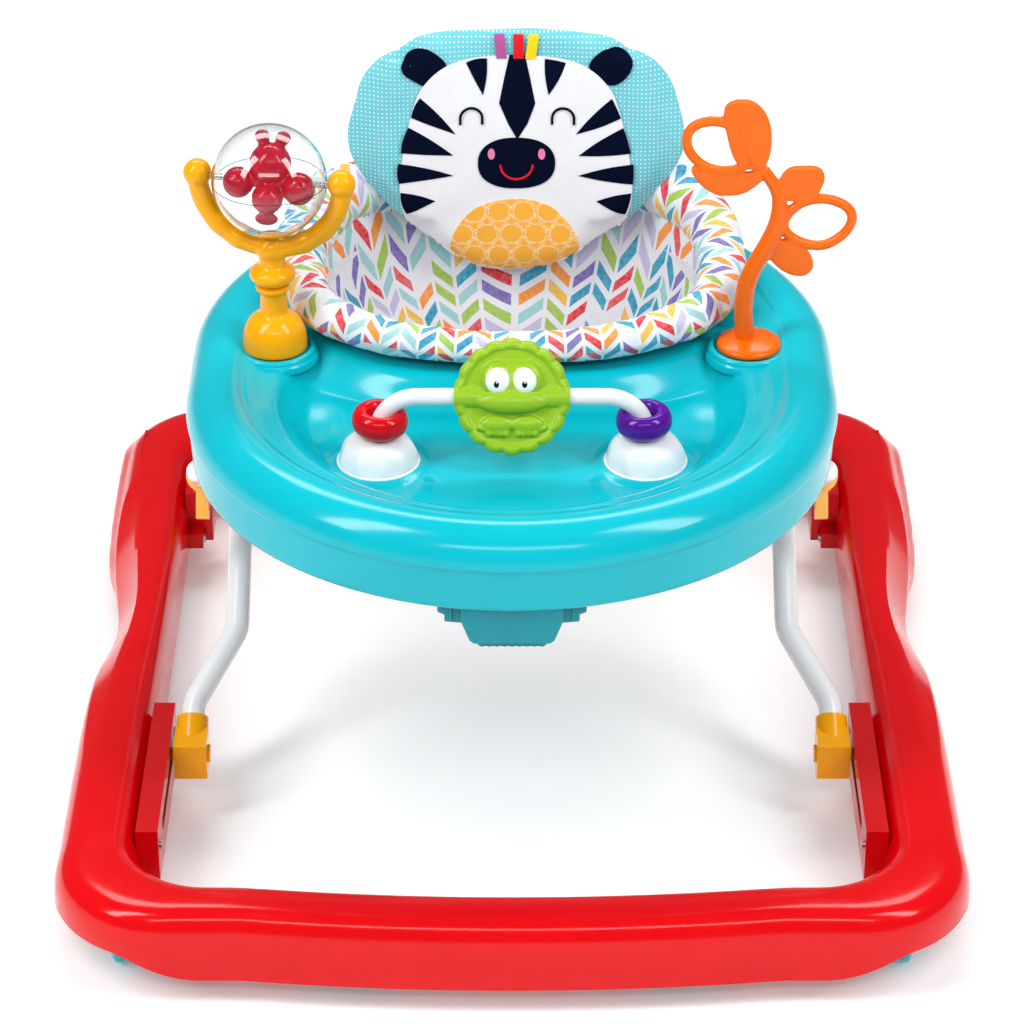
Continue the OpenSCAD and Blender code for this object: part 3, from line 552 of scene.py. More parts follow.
def settle(piece, body, material, *replaced):
    """Puts a finished piece on its body and in place of its CAD nodes."""
    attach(piece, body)
    if replaced:
        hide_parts(*replaced)
    return piece


def new_piece(name, shape, material, body, *replaced, crease=None):
    """A finished piece, with sharp shading where its faces meet at more than crease degrees."""
    piece = new_object(name, shape, material)
    if crease:
        sharpen(piece, crease)
    return settle(piece, body, material, *replaced)


def sharpen(piece, degrees):
    """Smooth shading, except across edges sharper than this."""
    piece.data.set_sharp_from_angle(angle=math.radians(degrees))


def baked(piece):
    """Applies every modifier of a piece."""
    evaluated = piece.evaluated_get(bpy.context.evaluated_depsgraph_get())
    mesh = bpy.data.meshes.new_from_object(evaluated)
    piece.modifiers.clear()
    old = piece.data
    piece.data = mesh
    mesh.name = old.name
    bpy.data.meshes.remove(old)
    return piece


def fused(piece, voxel, smoothing=6):
    """Melts overlapping parts into one moulded skin with soft inner corners."""
    remesh = piece.modifiers.new("remesh", "REMESH")
    remesh.mode = "VOXEL"
    remesh.voxel_size = voxel * MM
    smooth = piece.modifiers.new("smooth", "SMOOTH")
    smooth.factor = 0.5
    smooth.iterations = smoothing
    baked(piece)
    piece.data.shade_smooth()
    return piece


def moulded(name, shape, material, body, *replaced, voxel=1.0, smoothing=6):
    """A piece of overlapping parts melted into one."""
    piece = fused(new_object(name, shape, material), voxel, smoothing)
    return settle(piece, body, material, *replaced)


def bevelled(piece, width, segments=3):
    """Rounds the piece's sharp edges with a modifier, its width in millimetres."""
    bevel = piece.modifiers.new("edges", "BEVEL")
    bevel.width = width * MM
    bevel.segments = segments
    bevel.limit_method = "ANGLE"
    bevel.angle_limit = math.radians(35)
    bevel.harden_normals = True
    return piece


# ---------------------------------------------------------------- base ring
base_low, base_high = box_mm("base_shell")
HALF_W, HALF_L = base_high[0], base_high[1]
BASE_LOW, BASE_TOP = base_low[2], base_high[2]
INNER_X = 283
# Corner radii outside and in the hole, how far the front rail bows out, and the rails' widths
FRONT_CORNER, FRONT_HOLE = 90, 62
REAR_CORNER, REAR_HOLE = 75, 50
FRONT_BOW = 12
FRONT_RAIL, REAR_RAIL = 55, 60
WAIST_DEPTH, WAIST_Y, WAIST_LENGTH = 15, 55, 85
FENDER_FRONT, FENDER_BACK, FENDER_OUT = 165, 330, 6
CASTER_X, CASTER_Y, CASTER_RISE = 318, -352, 19
SHELL = 3.0


def ring_stations():
    """Right-hand half of the ring from the front rail's middle to the rear rail's middle, each station
    as [inner x, inner y, outer x, outer y]."""
    front_in, rear_in = -HALF_L + FRONT_BOW + FRONT_RAIL, HALF_L - REAR_RAIL

    def bow(x):
        return FRONT_BOW * (1 - min(1, (x / 200) ** 2))

    stations = []
    for t in np.linspace(0, 1, 24, endpoint=False):
        xi, xo = (INNER_X - FRONT_HOLE) * t, (HALF_W - FRONT_CORNER) * t
        stations.append((xi, front_in - bow(xi), xo, -HALF_L + FRONT_BOW - bow(xo)))
    for a in np.radians(np.linspace(0, 90, 24)):
        stations.append((INNER_X - FRONT_HOLE + FRONT_HOLE * math.sin(a),
                         front_in + FRONT_HOLE - FRONT_HOLE * math.cos(a),
                         HALF_W - FRONT_CORNER + FRONT_CORNER * math.sin(a),
                         -HALF_L + FRONT_BOW + FRONT_CORNER - FRONT_CORNER * math.cos(a)))
    for t in np.linspace(0, 1, 90)[1:-1]:
        inner = front_in + FRONT_HOLE + (rear_in - REAR_HOLE - front_in - FRONT_HOLE) * t
        outer_start = -HALF_L + FRONT_BOW + FRONT_CORNER
        outer = outer_start + (HALF_L - REAR_CORNER - outer_start) * t
        waist = WAIST_DEPTH * math.exp(-((outer - WAIST_Y) / WAIST_LENGTH) ** 2)
        stations.append((INNER_X, inner, HALF_W - waist, outer))
    for a in np.radians(np.linspace(0, 90, 20)):
        stations.append((INNER_X - REAR_HOLE + REAR_HOLE * math.cos(a),
                         rear_in - REAR_HOLE + REAR_HOLE * math.sin(a),
                         HALF_W - REAR_CORNER + REAR_CORNER * math.cos(a),
                         HALF_L - REAR_CORNER + REAR_CORNER * math.sin(a)))
    for t in np.linspace(1, 0, 20)[1:]:
        stations.append(((INNER_X - REAR_HOLE) * t, rear_in, (HALF_W - REAR_CORNER) * t, HALF_L))
    return stations


def rail_section(station):
    """Arch of the rail with its flat crown, rounded shoulders, outer bevel and turned-in lower lip."""
    inner, outer = np.array(station[:2]), np.array(station[2:])
    width = np.linalg.norm(outer - inner)
    across = (outer - inner) / width
    height = BASE_TOP - BASE_LOW
    on_side = smooth_step(outer[1], -240, -120) * (1 - smooth_step(outer[1], 215, 290))
    fender = smooth_step(outer[1], FENDER_FRONT - 22, FENDER_FRONT + 14) \
        * (1 - smooth_step(outer[1], FENDER_BACK, FENDER_BACK + 50))
    waist = math.exp(-((outer[1] - 80) / 110) ** 2)
    # Distances along the section from the inner edge, and heights above the lower edge
    steps = 40
    shape = []
    for k in range(steps + 1):
        a = math.pi * k / steps
        x = (1 - spow(math.cos(a), 0.55)) / 2
        z = spow(math.sin(a), 0.6)
        shape.append([x * width, z * height])
    shape = np.array(shape)
    # A chamfer cuts the outer shoulder, deepest at the waist
    lean = np.clip((shape[:, 0] / width - 0.62) / 0.38, 0, 1)
    cut = (6 + 16 * waist) * on_side
    limit = height - cut * lean * 1.6
    shape[:, 1] = np.where(lean > 0, np.minimum(shape[:, 1], limit), shape[:, 1])
    # The rear fender stands out below a crease that climbs towards the rear
    crease_at = 0.42 + 0.4 * smooth_step(outer[1], FENDER_FRONT - 20, FENDER_BACK)
    below = 1 - smooth_step(shape[:, 1] / height, crease_at - 0.16, crease_at)
    shape[:, 0] += fender * FENDER_OUT * below * (shape[:, 0] > width * 0.6)
    # The lower edge rises over the casters at the front corners
    caster = math.hypot(abs(outer[0]) - CASTER_X, outer[1] - CASTER_Y)
    rise = CASTER_RISE * (1 - smooth_step(caster, 26, 90))
    outside = smooth_step(shape[:, 0] / width, 0.55, 0.85)
    shape[:, 1] += outside * rise * (1 - shape[:, 1] / height)
    back = shape[::-1]
    inside = np.clip(back[:, 0], SHELL, width - SHELL)
    lip = outside[::-1] * rise
    hollow = np.stack([inside, np.maximum(back[:, 1] - SHELL, lip)], 1)
    ring = np.concatenate([shape, hollow[::2]])
    return [(inner[0] + across[0] * x, inner[1] + across[1] * x, BASE_LOW + z) for x, z in ring]


def make_base():
    half = [rail_section(s) for s in ring_stations()]
    other = [[(-x, y, z) for x, y, z in row] for row in half[-2:0:-1]]
    new_piece("ring_shell", grid(half + other, close_rows=True, close_columns=True), "red_plastic", "base",
              "base_shell", crease=50)


# ---------------------------------------------------------------- frame tubes
def rounded_route(points, bend, steps=10):
    """A route with straight runs, every corner bent to one radius."""
    points = [np.array(p, float) for p in points]
    route = [points[0]]
    for before, here, after in zip(points, points[1:], points[2:]):
        way_in, way_out = unit(here - before), unit(after - here)
        angle = math.acos(np.clip(np.dot(way_in, way_out), -1, 1))
        reach = bend * math.tan(angle / 2)
        start = here - way_in * reach
        side = unit(way_out - way_in * np.dot(way_in, way_out))
        for k in range(steps + 1):
            a = angle * k / steps
            route.append(start + way_in * bend * math.sin(a) + side * bend * (1 - math.cos(a)))
    return np.array(route + [points[-1]])


def filled_in(route, step=6.0):
    """The same route with a point at least every few millimetres."""
    out = [route[0]]
    for a, b in zip(route, route[1:]):
        count = max(1, int(np.linalg.norm(b - a) / step))
        out += [a + (b - a) * k / count for k in range(1, count + 1)]
    return np.array(out)


TUBE_R, TUBE_BEND = 9.5, 30
FOOT_Z, REAR_Y = 55, 250
FRAME_ANGLE = 34.7
LEG_LOW, LEG_HIGH = 235.4, 145.5
LEG = LEG_LOW + LEG_HIGH
FRONT_Y = REAR_Y - 2 * LEG_LOW * math.cos(math.radians(FRAME_ANGLE))
REAR_TUBE_X, FRONT_FOOT_X, FRONT_TUBE_X, TOP_TUBE_X = 246, 253, 220, 150


def in_tube_plane(points, foot_y, way):
    """From [across, along the tube] in a leaning tube's plane to the frame. Way is the side it
    leans to: 1 for the rear, -1 for the front."""
    a = math.radians(FRAME_ANGLE)
    return np.array([(x, foot_y + way * d * math.cos(a), FOOT_Z + d * math.sin(a)) for x, d in points])


def make_tubes():
    rear = rounded_route([(-REAR_TUBE_X, 12), (-REAR_TUBE_X, LEG), (REAR_TUBE_X, LEG),
                          (REAR_TUBE_X, 12)], TUBE_BEND)
    new_piece("rear_frame_tube", tube(in_tube_plane(filled_in(rear), REAR_Y, -1), TUBE_R, 32),
              "white_enamel", "rear_frame", "rear_tube", crease=50)
    route = rounded_route([(FRONT_FOOT_X, 8), (FRONT_FOOT_X, 42), (FRONT_TUBE_X, 106), (FRONT_TUBE_X, 262),
                           (TOP_TUBE_X, 340), (TOP_TUBE_X, LEG + 9)], TUBE_BEND)
    right = tube(in_tube_plane(filled_in(route), FRONT_Y, 1), TUBE_R, 32)
    new_piece("front_frame_tubes", joined(right, mirrored(right)), "white_enamel", "front_frame",
              "front_tubes", crease=50)


# ---------------------------------------------------------------- tray
TRAY_R = box_mm("tray_top")[1][0]
TRAY_FRONT_Y, TRAY_REAR_Y = -59, 11
SKIRT_Z, CREASE_Z, DECK_Z, FLOOR_Z = 295, 331, 350, 328
# The seat's slot is two half circles with a straight between them, its middle at SEAT_Y
SEAT_Y, SEAT_STRAIGHT, SLOT_R, SEAT_EDGE_R = 88, 48, 104.5, 139
RECESS_R, RECESS_Y = 177, -73
CROWN, CROWN_START = 27, -38
TOY_X, TOY_Y = 184, -10
DOME_X, DOME_Y = 100, -147


def tray_angles():
    """Angles round the outline, with both ends of each straight side."""
    front = np.linspace(-math.pi, 0, 181)
    rear = np.linspace(0, math.pi, 181)
    return [(a, TRAY_FRONT_Y) for a in front] + [(a, TRAY_REAR_Y) for a in rear]


def deck_height(x, y):
    """Height of the tray's deck: a dished recess in front, with pads for the domes, a ridge in
    front of each and a shallow pocket beside it."""
    x, y = np.asarray(x, float), np.asarray(y, float)
    seat = np.hypot(np.maximum(np.abs(x) - SEAT_STRAIGHT, 0), y - SEAT_Y)
    # Distance inside both the recess circle and the seat's edge, with the corner between softened
    soft = 9.0
    inside = -soft * np.log(np.exp(-(RECESS_R - np.hypot(x, y - RECESS_Y)) / soft)
                            + np.exp(-(seat - SEAT_EDGE_R) / soft))
    depth = (DECK_Z - FLOOR_Z) * smooth_step(inside, -8, 22)
    height = DECK_Z - 1.5 - depth
    for side in (-1, 1):
        dome = np.hypot(x - side * DOME_X, y - DOME_Y)
        height += 2.4 * (1 - smooth_step(dome, 34.5, 38)) * smooth_step(inside, 4, 24)
        along = np.clip((y + 230) / 64, 0, 1)
        ridge_x = side * (76 - 10 * along + 5 * np.sin(along * 6.3))
        near = np.exp(-((x - ridge_x) / 5.5) ** 2) \
            * smooth_step(y, -238, -220) * (1 - smooth_step(y, -184, -164))
        height += 6.5 * near * (1 - 0.5 * along)
        pocket = np.hypot((x - side * 148) / 0.8, (y + 96) / 1.4)
        height -= 4.5 * (1 - smooth_step(pocket, 6, 34)) * smooth_step(inside, 2, 20)
    height -= 2.0 * (1 - smooth_step(seat, 112, 150))
    return height


def make_tray():
    # From the crown's inner foot over its top, past the crease and down the skirt
    profile = [(TRAY_R - CROWN + CROWN * math.sin(a), CREASE_Z + CROWN * math.cos(a))
               for a in np.radians(np.linspace(CROWN_START, 90, 22))]
    crown_in, z_in = profile[0]
    profile += [(TRAY_R, CREASE_Z - 0.8), (TRAY_R - 0.9, CREASE_Z - 1.8), (TRAY_R - 1.4, CREASE_Z - 3.4)]
    profile += [(TRAY_R - 1.4 - 1.8 * t, CREASE_Z - 4 - (CREASE_Z - 4 - SKIRT_Z - 2) * t)
                for t in np.linspace(0, 1, 10)]
    profile += [(TRAY_R - 3.9, SKIRT_Z + 0.4), (TRAY_R - 5.2, SKIRT_Z), (TRAY_R - 6.4, SKIRT_Z + 1),
                (TRAY_R - 6.6, SKIRT_Z + 6), (TRAY_R - 6, CREASE_Z - 6), (TRAY_R - 8, CREASE_Z + 6)]
    rows = []
    for a, centre_y in tray_angles():
        c, s = math.cos(a), math.sin(a)
        start = np.array([crown_in * c, centre_y + crown_in * s])
        # Inner end of the deck: the seat's slot, met by a ray from the seat's middle
        toward = start - np.array([0, SEAT_Y])
        toward = toward / np.linalg.norm(toward)
        inner = slot_hit(toward)
        ts = np.linspace(0, 1, 64)[:-1]
        xy = inner[None] + (start - inner)[None] * ts[:, None]
        z = deck_height(xy[:, 0], xy[:, 1])
        blend = smooth_step(np.linalg.norm(xy - start, axis=1), 0, 22)
        z = z_in + (z - z_in) * blend
        row = [(inner[0], inner[1], DECK_Z - 22), (inner[0], inner[1], float(z[0]) - 1.2)]
        row += [(p[0], p[1], h) for p, h in zip(xy, z)]
        row += [(r * c, centre_y + r * s, h) for r, h in profile]
        rows.append(row)
    shell = grid(rows, close_rows=True)
    # A raised collar and a flat floor under each toy's foot
    collars = []
    ring = soften([(26.6, -6), (26.6, 3.2), (27.4, 4.2), (29, 4.6), (30.8, 4.2), (31.8, 2.6),
                   (32.2, 0.5), (34, -1), (34, -6)], 2)
    for side in (-1, 1):
        collars.append(lathe(ring, 96, (side * TOY_X, TOY_Y, DECK_Z - 1.4)))
        collars.append(lathe([(0, -1.5), (26.7, -1.5)], 96, (side * TOY_X, TOY_Y, DECK_Z + 1.2)))
    new_piece("tray_shell", joined(shell, *collars), "teal_plastic", "tray", "tray_top", crease=60)


def slot_hit(toward):
    """Where a ray from the seat's middle leaves the seat's rounded slot."""
    low, high = 0.0, 400.0
    for _ in range(40):
        mid = (low + high) / 2
        p = toward * mid
        if math.hypot(max(abs(p[0]) - SEAT_STRAIGHT, 0), p[1]) < SLOT_R:
            low = mid
        else:
            high = mid
    return toward * low + np.array([0, SEAT_Y])


# ---------------------------------------------------------------- seat
# Half width and half length of the roll's middle line, where its middle is, and its lowest height
RING_X, RING_Y, ROLL_Y, ROLL_LOW = 167, 125, 85, 353
# The roll and the bucket are rounded squares seen from above: a circle would have power 1
SEAT_POWER = 0.8
ROLL_GIRTH = 2 * math.pi * 19


def lift_at(t):
    """How much the roll rises at the rear corners, where the seat back pulls it up."""
    off = np.degrees(np.minimum(np.abs(t), 2 * math.pi - np.abs(t)))
    return np.exp(-((off - 132) / 26) ** 2)


def roll_radius(t):
    return 13 + 9 * ((1 - np.cos(t)) / 2) ** 0.6 + 3.5 * lift_at(t)


def roll_middle(t):
    return np.array([RING_X * spow(math.sin(t), SEAT_POWER),
                     ROLL_Y - RING_Y * spow(math.cos(t), SEAT_POWER),
                     ROLL_LOW + roll_radius(t) + 3 * (1 - math.cos(t)) + 10 * lift_at(t)])


def lumps(x, y, z, scale, seed=0.0):
    """Smooth random height from -1 to 1, the same on every run."""
    return noise.noise(Vector((x / scale + seed, y / scale, z / scale)))


def make_roll():
    stations, sides = 300, 36
    rows, lengths = [], [0.0]
    middles = [roll_middle(2 * math.pi * i / stations) for i in range(stations)]
    for i in range(stations):
        t = 2 * math.pi * i / stations
        way = unit(middles[(i + 1) % stations] - middles[i - 1])
        out = unit(np.cross(way, (0, 0, 1)))
        up = np.cross(out, way)
        r = roll_radius(t)
        row = []
        for j in range(sides):
            b = 2 * math.pi * j / sides
            # Gathers run from the inner seam outwards
            inner = max(0.0, -math.cos(b)) ** 1.5
            pucker = 1.3 * inner * lumps(i * 2.2, 3 * math.sin(b), 0, 7.0) \
                + 1.6 * lumps(*middles[i], 34, b) + 0.7 * lumps(i * 1.4, 5 * b, 0, 5, 9)
            squash = 1 - 0.12 * max(0, -math.sin(b))
            rr = (r + pucker) * squash
            row.append(middles[i] + out * rr * math.cos(b) + up * rr * math.sin(b))
        rows.append(row)
        lengths.append(lengths[-1] + np.linalg.norm(middles[(i + 1) % stations] - middles[i]))
    # The print meets itself at the seam, so its length is rounded to whole pairs of columns
    scale = round(lengths[-1] / (2 * COLUMN * 0.8)) * 2 * COLUMN / lengths[-1]
    points, faces = grid(rows, close_rows=True, close_columns=True)
    uv = []
    for i in range(stations):
        for j in range(sides):
            u0, u1 = lengths[i] * scale, lengths[i + 1] * scale
            v0, v1 = ROLL_GIRTH * j / sides, ROLL_GIRTH * (j + 1) / sides
            uv += [(u0, v0), (u0, v1), (u1, v1), (u1, v0)]
    piece = new_object("seat_rim", (points, faces), "print_fabric", uv)
    settle(piece, "tray", "print_fabric", "seat_roll")
    return piece


# Levels of the bucket from the rim down: half width, half length, height and the middle's Y
BUCKET = [(160, 114, 368, 85), (153, 106, 350, 86), (144, 96, 325, 87), (133, 87, 300, 89),
          (122, 79, 278, 90), (111, 72, 255, 92), (98, 64, 235, 94), (83, 55, 218, 96),
          (64, 45, 208, 98), (40, 30, 203, 99), (16, 12, 201.5, 100)]
LEG_X, LEG_Y, LEG_Z, LEG_R = 52, 78, 262.0, 37
RIM_LENGTH = 790


def make_bucket():
    columns = 240
    levels = soften(BUCKET, 2)
    rows, depth = [], [0.0]
    for i, (a, b, z, y) in enumerate(levels):
        row = []
        for j in range(columns):
            t = 2 * math.pi * j / columns
            fold = 1.8 * lumps(60 * math.sin(t), 60 * math.cos(t), z * 0.25, 12.0) * min(1, i / 6)
            lift = (roll_middle(t)[2] - BUCKET[0][2]) * smooth_step(z, 318, 364)
            row.append(((a + fold) * spow(math.sin(t), SEAT_POWER),
                        y - (b + fold) * spow(math.cos(t), SEAT_POWER), z + lift))
        rows.append(row)
        if i:
            depth.append(depth[-1] + math.hypot(levels[i][2] - levels[i - 1][2],
                                                levels[i][0] - levels[i - 1][0]))
    # Faces within a leg opening are left out: each opening is a round beam that slants down in front
    beams = [np.array([side * LEG_X, LEG_Y, LEG_Z]) for side in (-1, 1)]
    way = turn("X", 130) @ np.array([0, 0, 1.0])
    points, faces = grid(rows, close_columns=True)
    perimeter = 2 * COLUMN * round(RIM_LENGTH / (2 * COLUMN))
    uv, kept = [], []
    index = 0
    for i in range(len(levels) - 1):
        for j in range(columns):
            centre = points[faces[index]].mean(0)
            open_leg = False
            for start in beams:
                along = np.dot(centre - start, way)
                off = np.linalg.norm(centre - start - way * along)
                open_leg = open_leg or (along > 0 and off < LEG_R)
            if not open_leg:
                kept.append(faces[index])
                u0, u1 = perimeter * j / columns, perimeter * (j + 1) / columns
                uv += [(u0, -depth[i]), (u1, -depth[i]), (u1, -depth[i + 1]), (u0, -depth[i + 1])]
            index += 1
    piece = new_object("seat_bucket", (points, kept), "print_fabric", uv)
    # The points left over inside the leg openings go
    build = bmesh.new()
    build.from_mesh(piece.data)
    loose = [v for v in build.verts if not v.link_faces]
    bmesh.ops.delete(build, geom=loose, context="VERTS")
    build.to_mesh(piece.data)
    build.free()
    thick = piece.modifiers.new("thickness", "SOLIDIFY")
    thick.thickness = 2.2 * MM
    thick.offset = 0
    baked(piece)
    piece.data.shade_smooth()
    settle(piece, "tray", "print_fabric", "seat_sling")
    return piece


# ---------------------------------------------------------------- seat back
# Lean in degrees, height and Y of the lower edge's front, radius of the curve, and thickness
BACK_TILT, BACK_LOW, BACK_FRONT, BACK_CURVE, BACK_THICK = 7, 326, 156, 400, 14
TILT = turn("X", -BACK_TILT)


def on_back(x, h, depth):
    """A point of the seat back: across, up along it, and behind its front face."""
    y = -BACK_CURVE + math.sqrt(max(0.0, (BACK_CURVE + depth) ** 2 - x * x))
    return TILT @ np.array([x, y, h]) + np.array([0, BACK_FRONT, BACK_LOW])


# Right-hand half of the pad as [across, up the back]. The left half is a little narrower
BACK_OUTLINE = [(0, 2), (34, 5), (62, 19), (99, 47), (122, 79), (138, 108), (139, 130), (133, 150),
                (128, 170), (116, 186), (96, 202), (82, 210), (62, 214), (0, 216)]
BACK_MIDDLE = np.array([0, 112.0])


def back_outline():
    whole = BACK_OUTLINE + [(-0.95 * x, h) for x, h in BACK_OUTLINE[-2:0:-1]]
    return soften(whole, 3, closed=True)


def round_of_square(a, b):
    """Radius and angle in the unit disc for a point of the square from -1 to 1."""
    if abs(a) > abs(b):
        share, angle = abs(a), math.pi / 4 * b / a + (math.pi if a < 0 else 0)
    elif b:
        share, angle = abs(b), math.pi / 2 - math.pi / 4 * a / b + (math.pi if b < 0 else 0)
    else:
        share, angle = 0.0, 0.0
    return share, math.atan2(math.sin(angle), math.cos(angle))


def make_back():
    """The padded back: two sheets over a square grid bent to the outline, then swelled."""
    outline = back_outline() - BACK_MIDDLE
    angles = np.arctan2(outline[:, 1], outline[:, 0])
    order = np.argsort(angles)
    reach = np.linalg.norm(outline, axis=1)[order]
    steps = 61
    rows = {-1: [], 1: []}
    for across in np.linspace(-1, 1, steps):
        for sign, sheet in rows.items():
            row = []
            for up in np.linspace(-1, 1, steps):
                share, angle = round_of_square(across, up)
                far = np.interp(angle, angles[order], reach, period=2 * math.pi) * share
                half = (BACK_THICK / 2 - 1) * math.sqrt(max(0.0, 1 - share ** 4))
                x, h = BACK_MIDDLE + far * np.array([math.cos(angle), math.sin(angle)])
                row.append(on_back(x, h, BACK_THICK / 2 + sign * half))
            sheet.append(row)
    piece = new_object("back_pad", joined(grid(rows[-1]), grid(rows[1])), "back_fabric")
    puff(piece, pressure=4.0, cap=7.0)
    wrinkle(piece)
    extra = piece.modifiers.new("smooth", "SUBSURF")
    extra.levels = extra.render_levels = 1
    baked(piece)
    piece.data.shade_smooth()
    settle(piece, "tray", "back_fabric", "seat_back")
    return piece


def vertex_places(piece):
    places = np.zeros(len(piece.data.vertices) * 3)
    piece.data.vertices.foreach_get("co", places)
    return places.reshape(-1, 3)


def puff(piece, pressure, cap, frames=20):
    """Swells a closed piece with a cloth simulation. No point moves more than cap millimetres."""
    rest = vertex_places(piece)
    cloth = piece.modifiers.new("cloth", "CLOTH")
    cloth.settings.quality = 6
    cloth.settings.mass = 0.15
    cloth.settings.tension_stiffness = 12
    cloth.settings.compression_stiffness = 12
    cloth.settings.shear_stiffness = 4
    cloth.settings.bending_stiffness = 0.3
    cloth.settings.use_pressure = True
    cloth.settings.uniform_pressure_force = pressure
    cloth.settings.shrink_min = -0.06
    cloth.settings.effector_weights.gravity = 0
    cloth.collision_settings.use_collision = False
    scene = bpy.context.scene
    for number in range(1, frames + 1):
        scene.frame_set(number)
    baked(piece)
    scene.frame_set(1)
    shift = vertex_places(piece) - rest
    far = np.linalg.norm(shift, axis=1, keepdims=True)
    limit = cap * MM
    shift *= np.where(far > 1e-9, limit * np.tanh(far / limit) / np.maximum(far, 1e-9), 1)
    piece.data.vertices.foreach_set("co", (rest + shift).reshape(-1))
    piece.data.update()


def wrinkle(piece):
    """Soft dents and pulled tucks near the sewn edge."""
    piece.data.update()
    for v in piece.data.vertices:
        x, y, z = v.co / MM
        v.co += v.normal * MM * (1.1 * lumps(x, y, z, 38, 4) + 0.5 * lumps(x, y, z, 15, 8))
    piece.data.update()


class Skin:
    """The front of the seat back, as a surface to lay patches on."""

    def __init__(self, piece):
        piece.data.calc_loop_triangles()
        points = [v.co / MM for v in piece.data.vertices]
        self.tree = BVHTree.FromPolygons(points, [t.vertices for t in piece.data.loop_triangles])

    def at(self, x, h, lift):
        toward = unit(TILT @ np.array([-x / BACK_CURVE, 1, 0]))
        for shrink in np.linspace(0, 0.3, 31):
            # A point past the pad's edge moves back towards the pad's middle
            near_x, near_h = BACK_MIDDLE + (np.array([x, h]) - BACK_MIDDLE) * (1 - shrink)
            start = Vector(on_back(near_x, near_h, 6) - toward * 60)
            hit = self.tree.ray_cast(start, Vector(toward))[0]
            if hit is not None:
                return np.array(hit) - toward * lift
        return on_back(x, h, -lift)


def patch(name, outline, skin, lift, material, thick=0.9):
    """A cloth patch laid on the skin, its face lift above it. It is cut into small squares first,
    so that it follows the skin."""
    build = bmesh.new()
    face = build.faces.new([build.verts.new((x, 0, h)) for x, h in outline])
    face.normal_update()
    low, high = np.min(outline, axis=0), np.max(outline, axis=0)
    step = 3.5
    for axis, normal in enumerate((Vector((1, 0, 0)), Vector((0, 0, 1)))):
        for value in np.arange(low[axis] + step, high[axis], step):
            whole = build.verts[:] + build.edges[:] + build.faces[:]
            bmesh.ops.bisect_plane(build, geom=whole, dist=1e-4, plane_co=normal * value, plane_no=normal)
    bmesh.ops.triangulate(build, faces=[f for f in build.faces if len(f.verts) > 4])
    for v in build.verts:
        v.co = Vector(skin.at(v.co.x, v.co.z, lift))
    mesh = bpy.data.meshes.new(name)
    build.to_mesh(mesh)
    build.free()
    points = np.array([v.co for v in mesh.vertices])
    faces = [list(p.vertices) for p in mesh.polygons]
    bpy.data.meshes.remove(mesh)
    piece = new_object(name, (points, faces), material)
    facing = sum((p.normal * p.area for p in piece.data.polygons), Vector())
    if facing.dot(Vector(TILT @ np.array([0, -1, 0]))) < 0:
        piece.data.flip_normals()
    thickness = piece.modifiers.new("thickness", "SOLIDIFY")
    thickness.thickness = thick * MM
    thickness.offset = -1
    baked(piece)
    bevelled(piece, 0.3, 2)
    baked(piece)
    piece.data.shade_smooth()
    return settle(piece, "tray", material)


def thread_line(name, path, skin, lift, radius, material):
    """A line of satin stitch along a path [across, up] on the skin."""
    points = np.array([skin.at(x, h, lift) for x, h in path])
    return new_piece(name, tube(points, radius, 10), material, "tray")


# The face on the seat back, as [across, up the back] from the middle of its lower edge
FACE_X = 3
HEAD = [(0, 4), (28, 6), (56, 18), (88, 44), (91, 66), (91, 90), (87, 116), (81, 145), (74, 165),
        (57, 182), (35, 189), (0, 191)]
EARS = {"left": [(-86, 178), (-86, 190), (-76, 197), (-62, 196), (-46, 180), (-64, 164), (-78, 172)],
        "right": [(56, 181), (68, 195), (84, 199), (96, 190), (90, 174), (75, 165)]}
STRIPES = [[(22, 188), (38, 185), (25, 158)], [(73, 157), (80, 141), (46, 126)],
           [(82, 133), (88, 112), (48, 108)], [(90, 103), (90, 86), (48, 91)],
           [(89, 78), (86, 58), (62, 70)]]
FORELOCK = [(-2, 191), (10, 191), (14, 172), (18, 151), (12, 134), (4, 121), (-3, 134), (-10, 151),
            (-6, 172)]
CHEST = [(-51, 19), (-47, 41), (-33, 61), (-17, 68), (3, 71), (22, 68), (36, 61), (50, 43), (57, 19),
         (36, 8), (3, 3), (-30, 7)]


def oval(x, h, wide, tall, steps=32, power=1.0):
    a = np.linspace(0, 2 * math.pi, steps, endpoint=False)
    return [(x + wide * spow(math.cos(t), power), h + tall * spow(math.sin(t), power)) for t in a]


def flipped(outline, side):
    """The outline itself, or its mirror image where side is -1."""
    return [(x * side, h) for x, h in (outline if side > 0 else outline[::-1])]


def bowed(points):
    """A stripe with its sides bowed outwards, the two long ones more than its base."""
    a, b, tip = (np.array(p, float) for p in points)
    out = []
    for start, stop in ((a, b), (b, tip), (tip, a)):
        middle = (start + stop) / 2
        side = np.array([stop[1] - start[1], start[0] - stop[0]])
        side = side / np.linalg.norm(side)
        if np.dot(side, middle - (a + b + tip) / 3) < 0:
            side = -side
        for t in np.linspace(0, 1, 8, endpoint=False):
            bow = (1.2 if stop is not b else 0.3) * math.sin(math.pi * t)
            out.append(tuple(start + (stop - start) * t + side * bow))
    return out


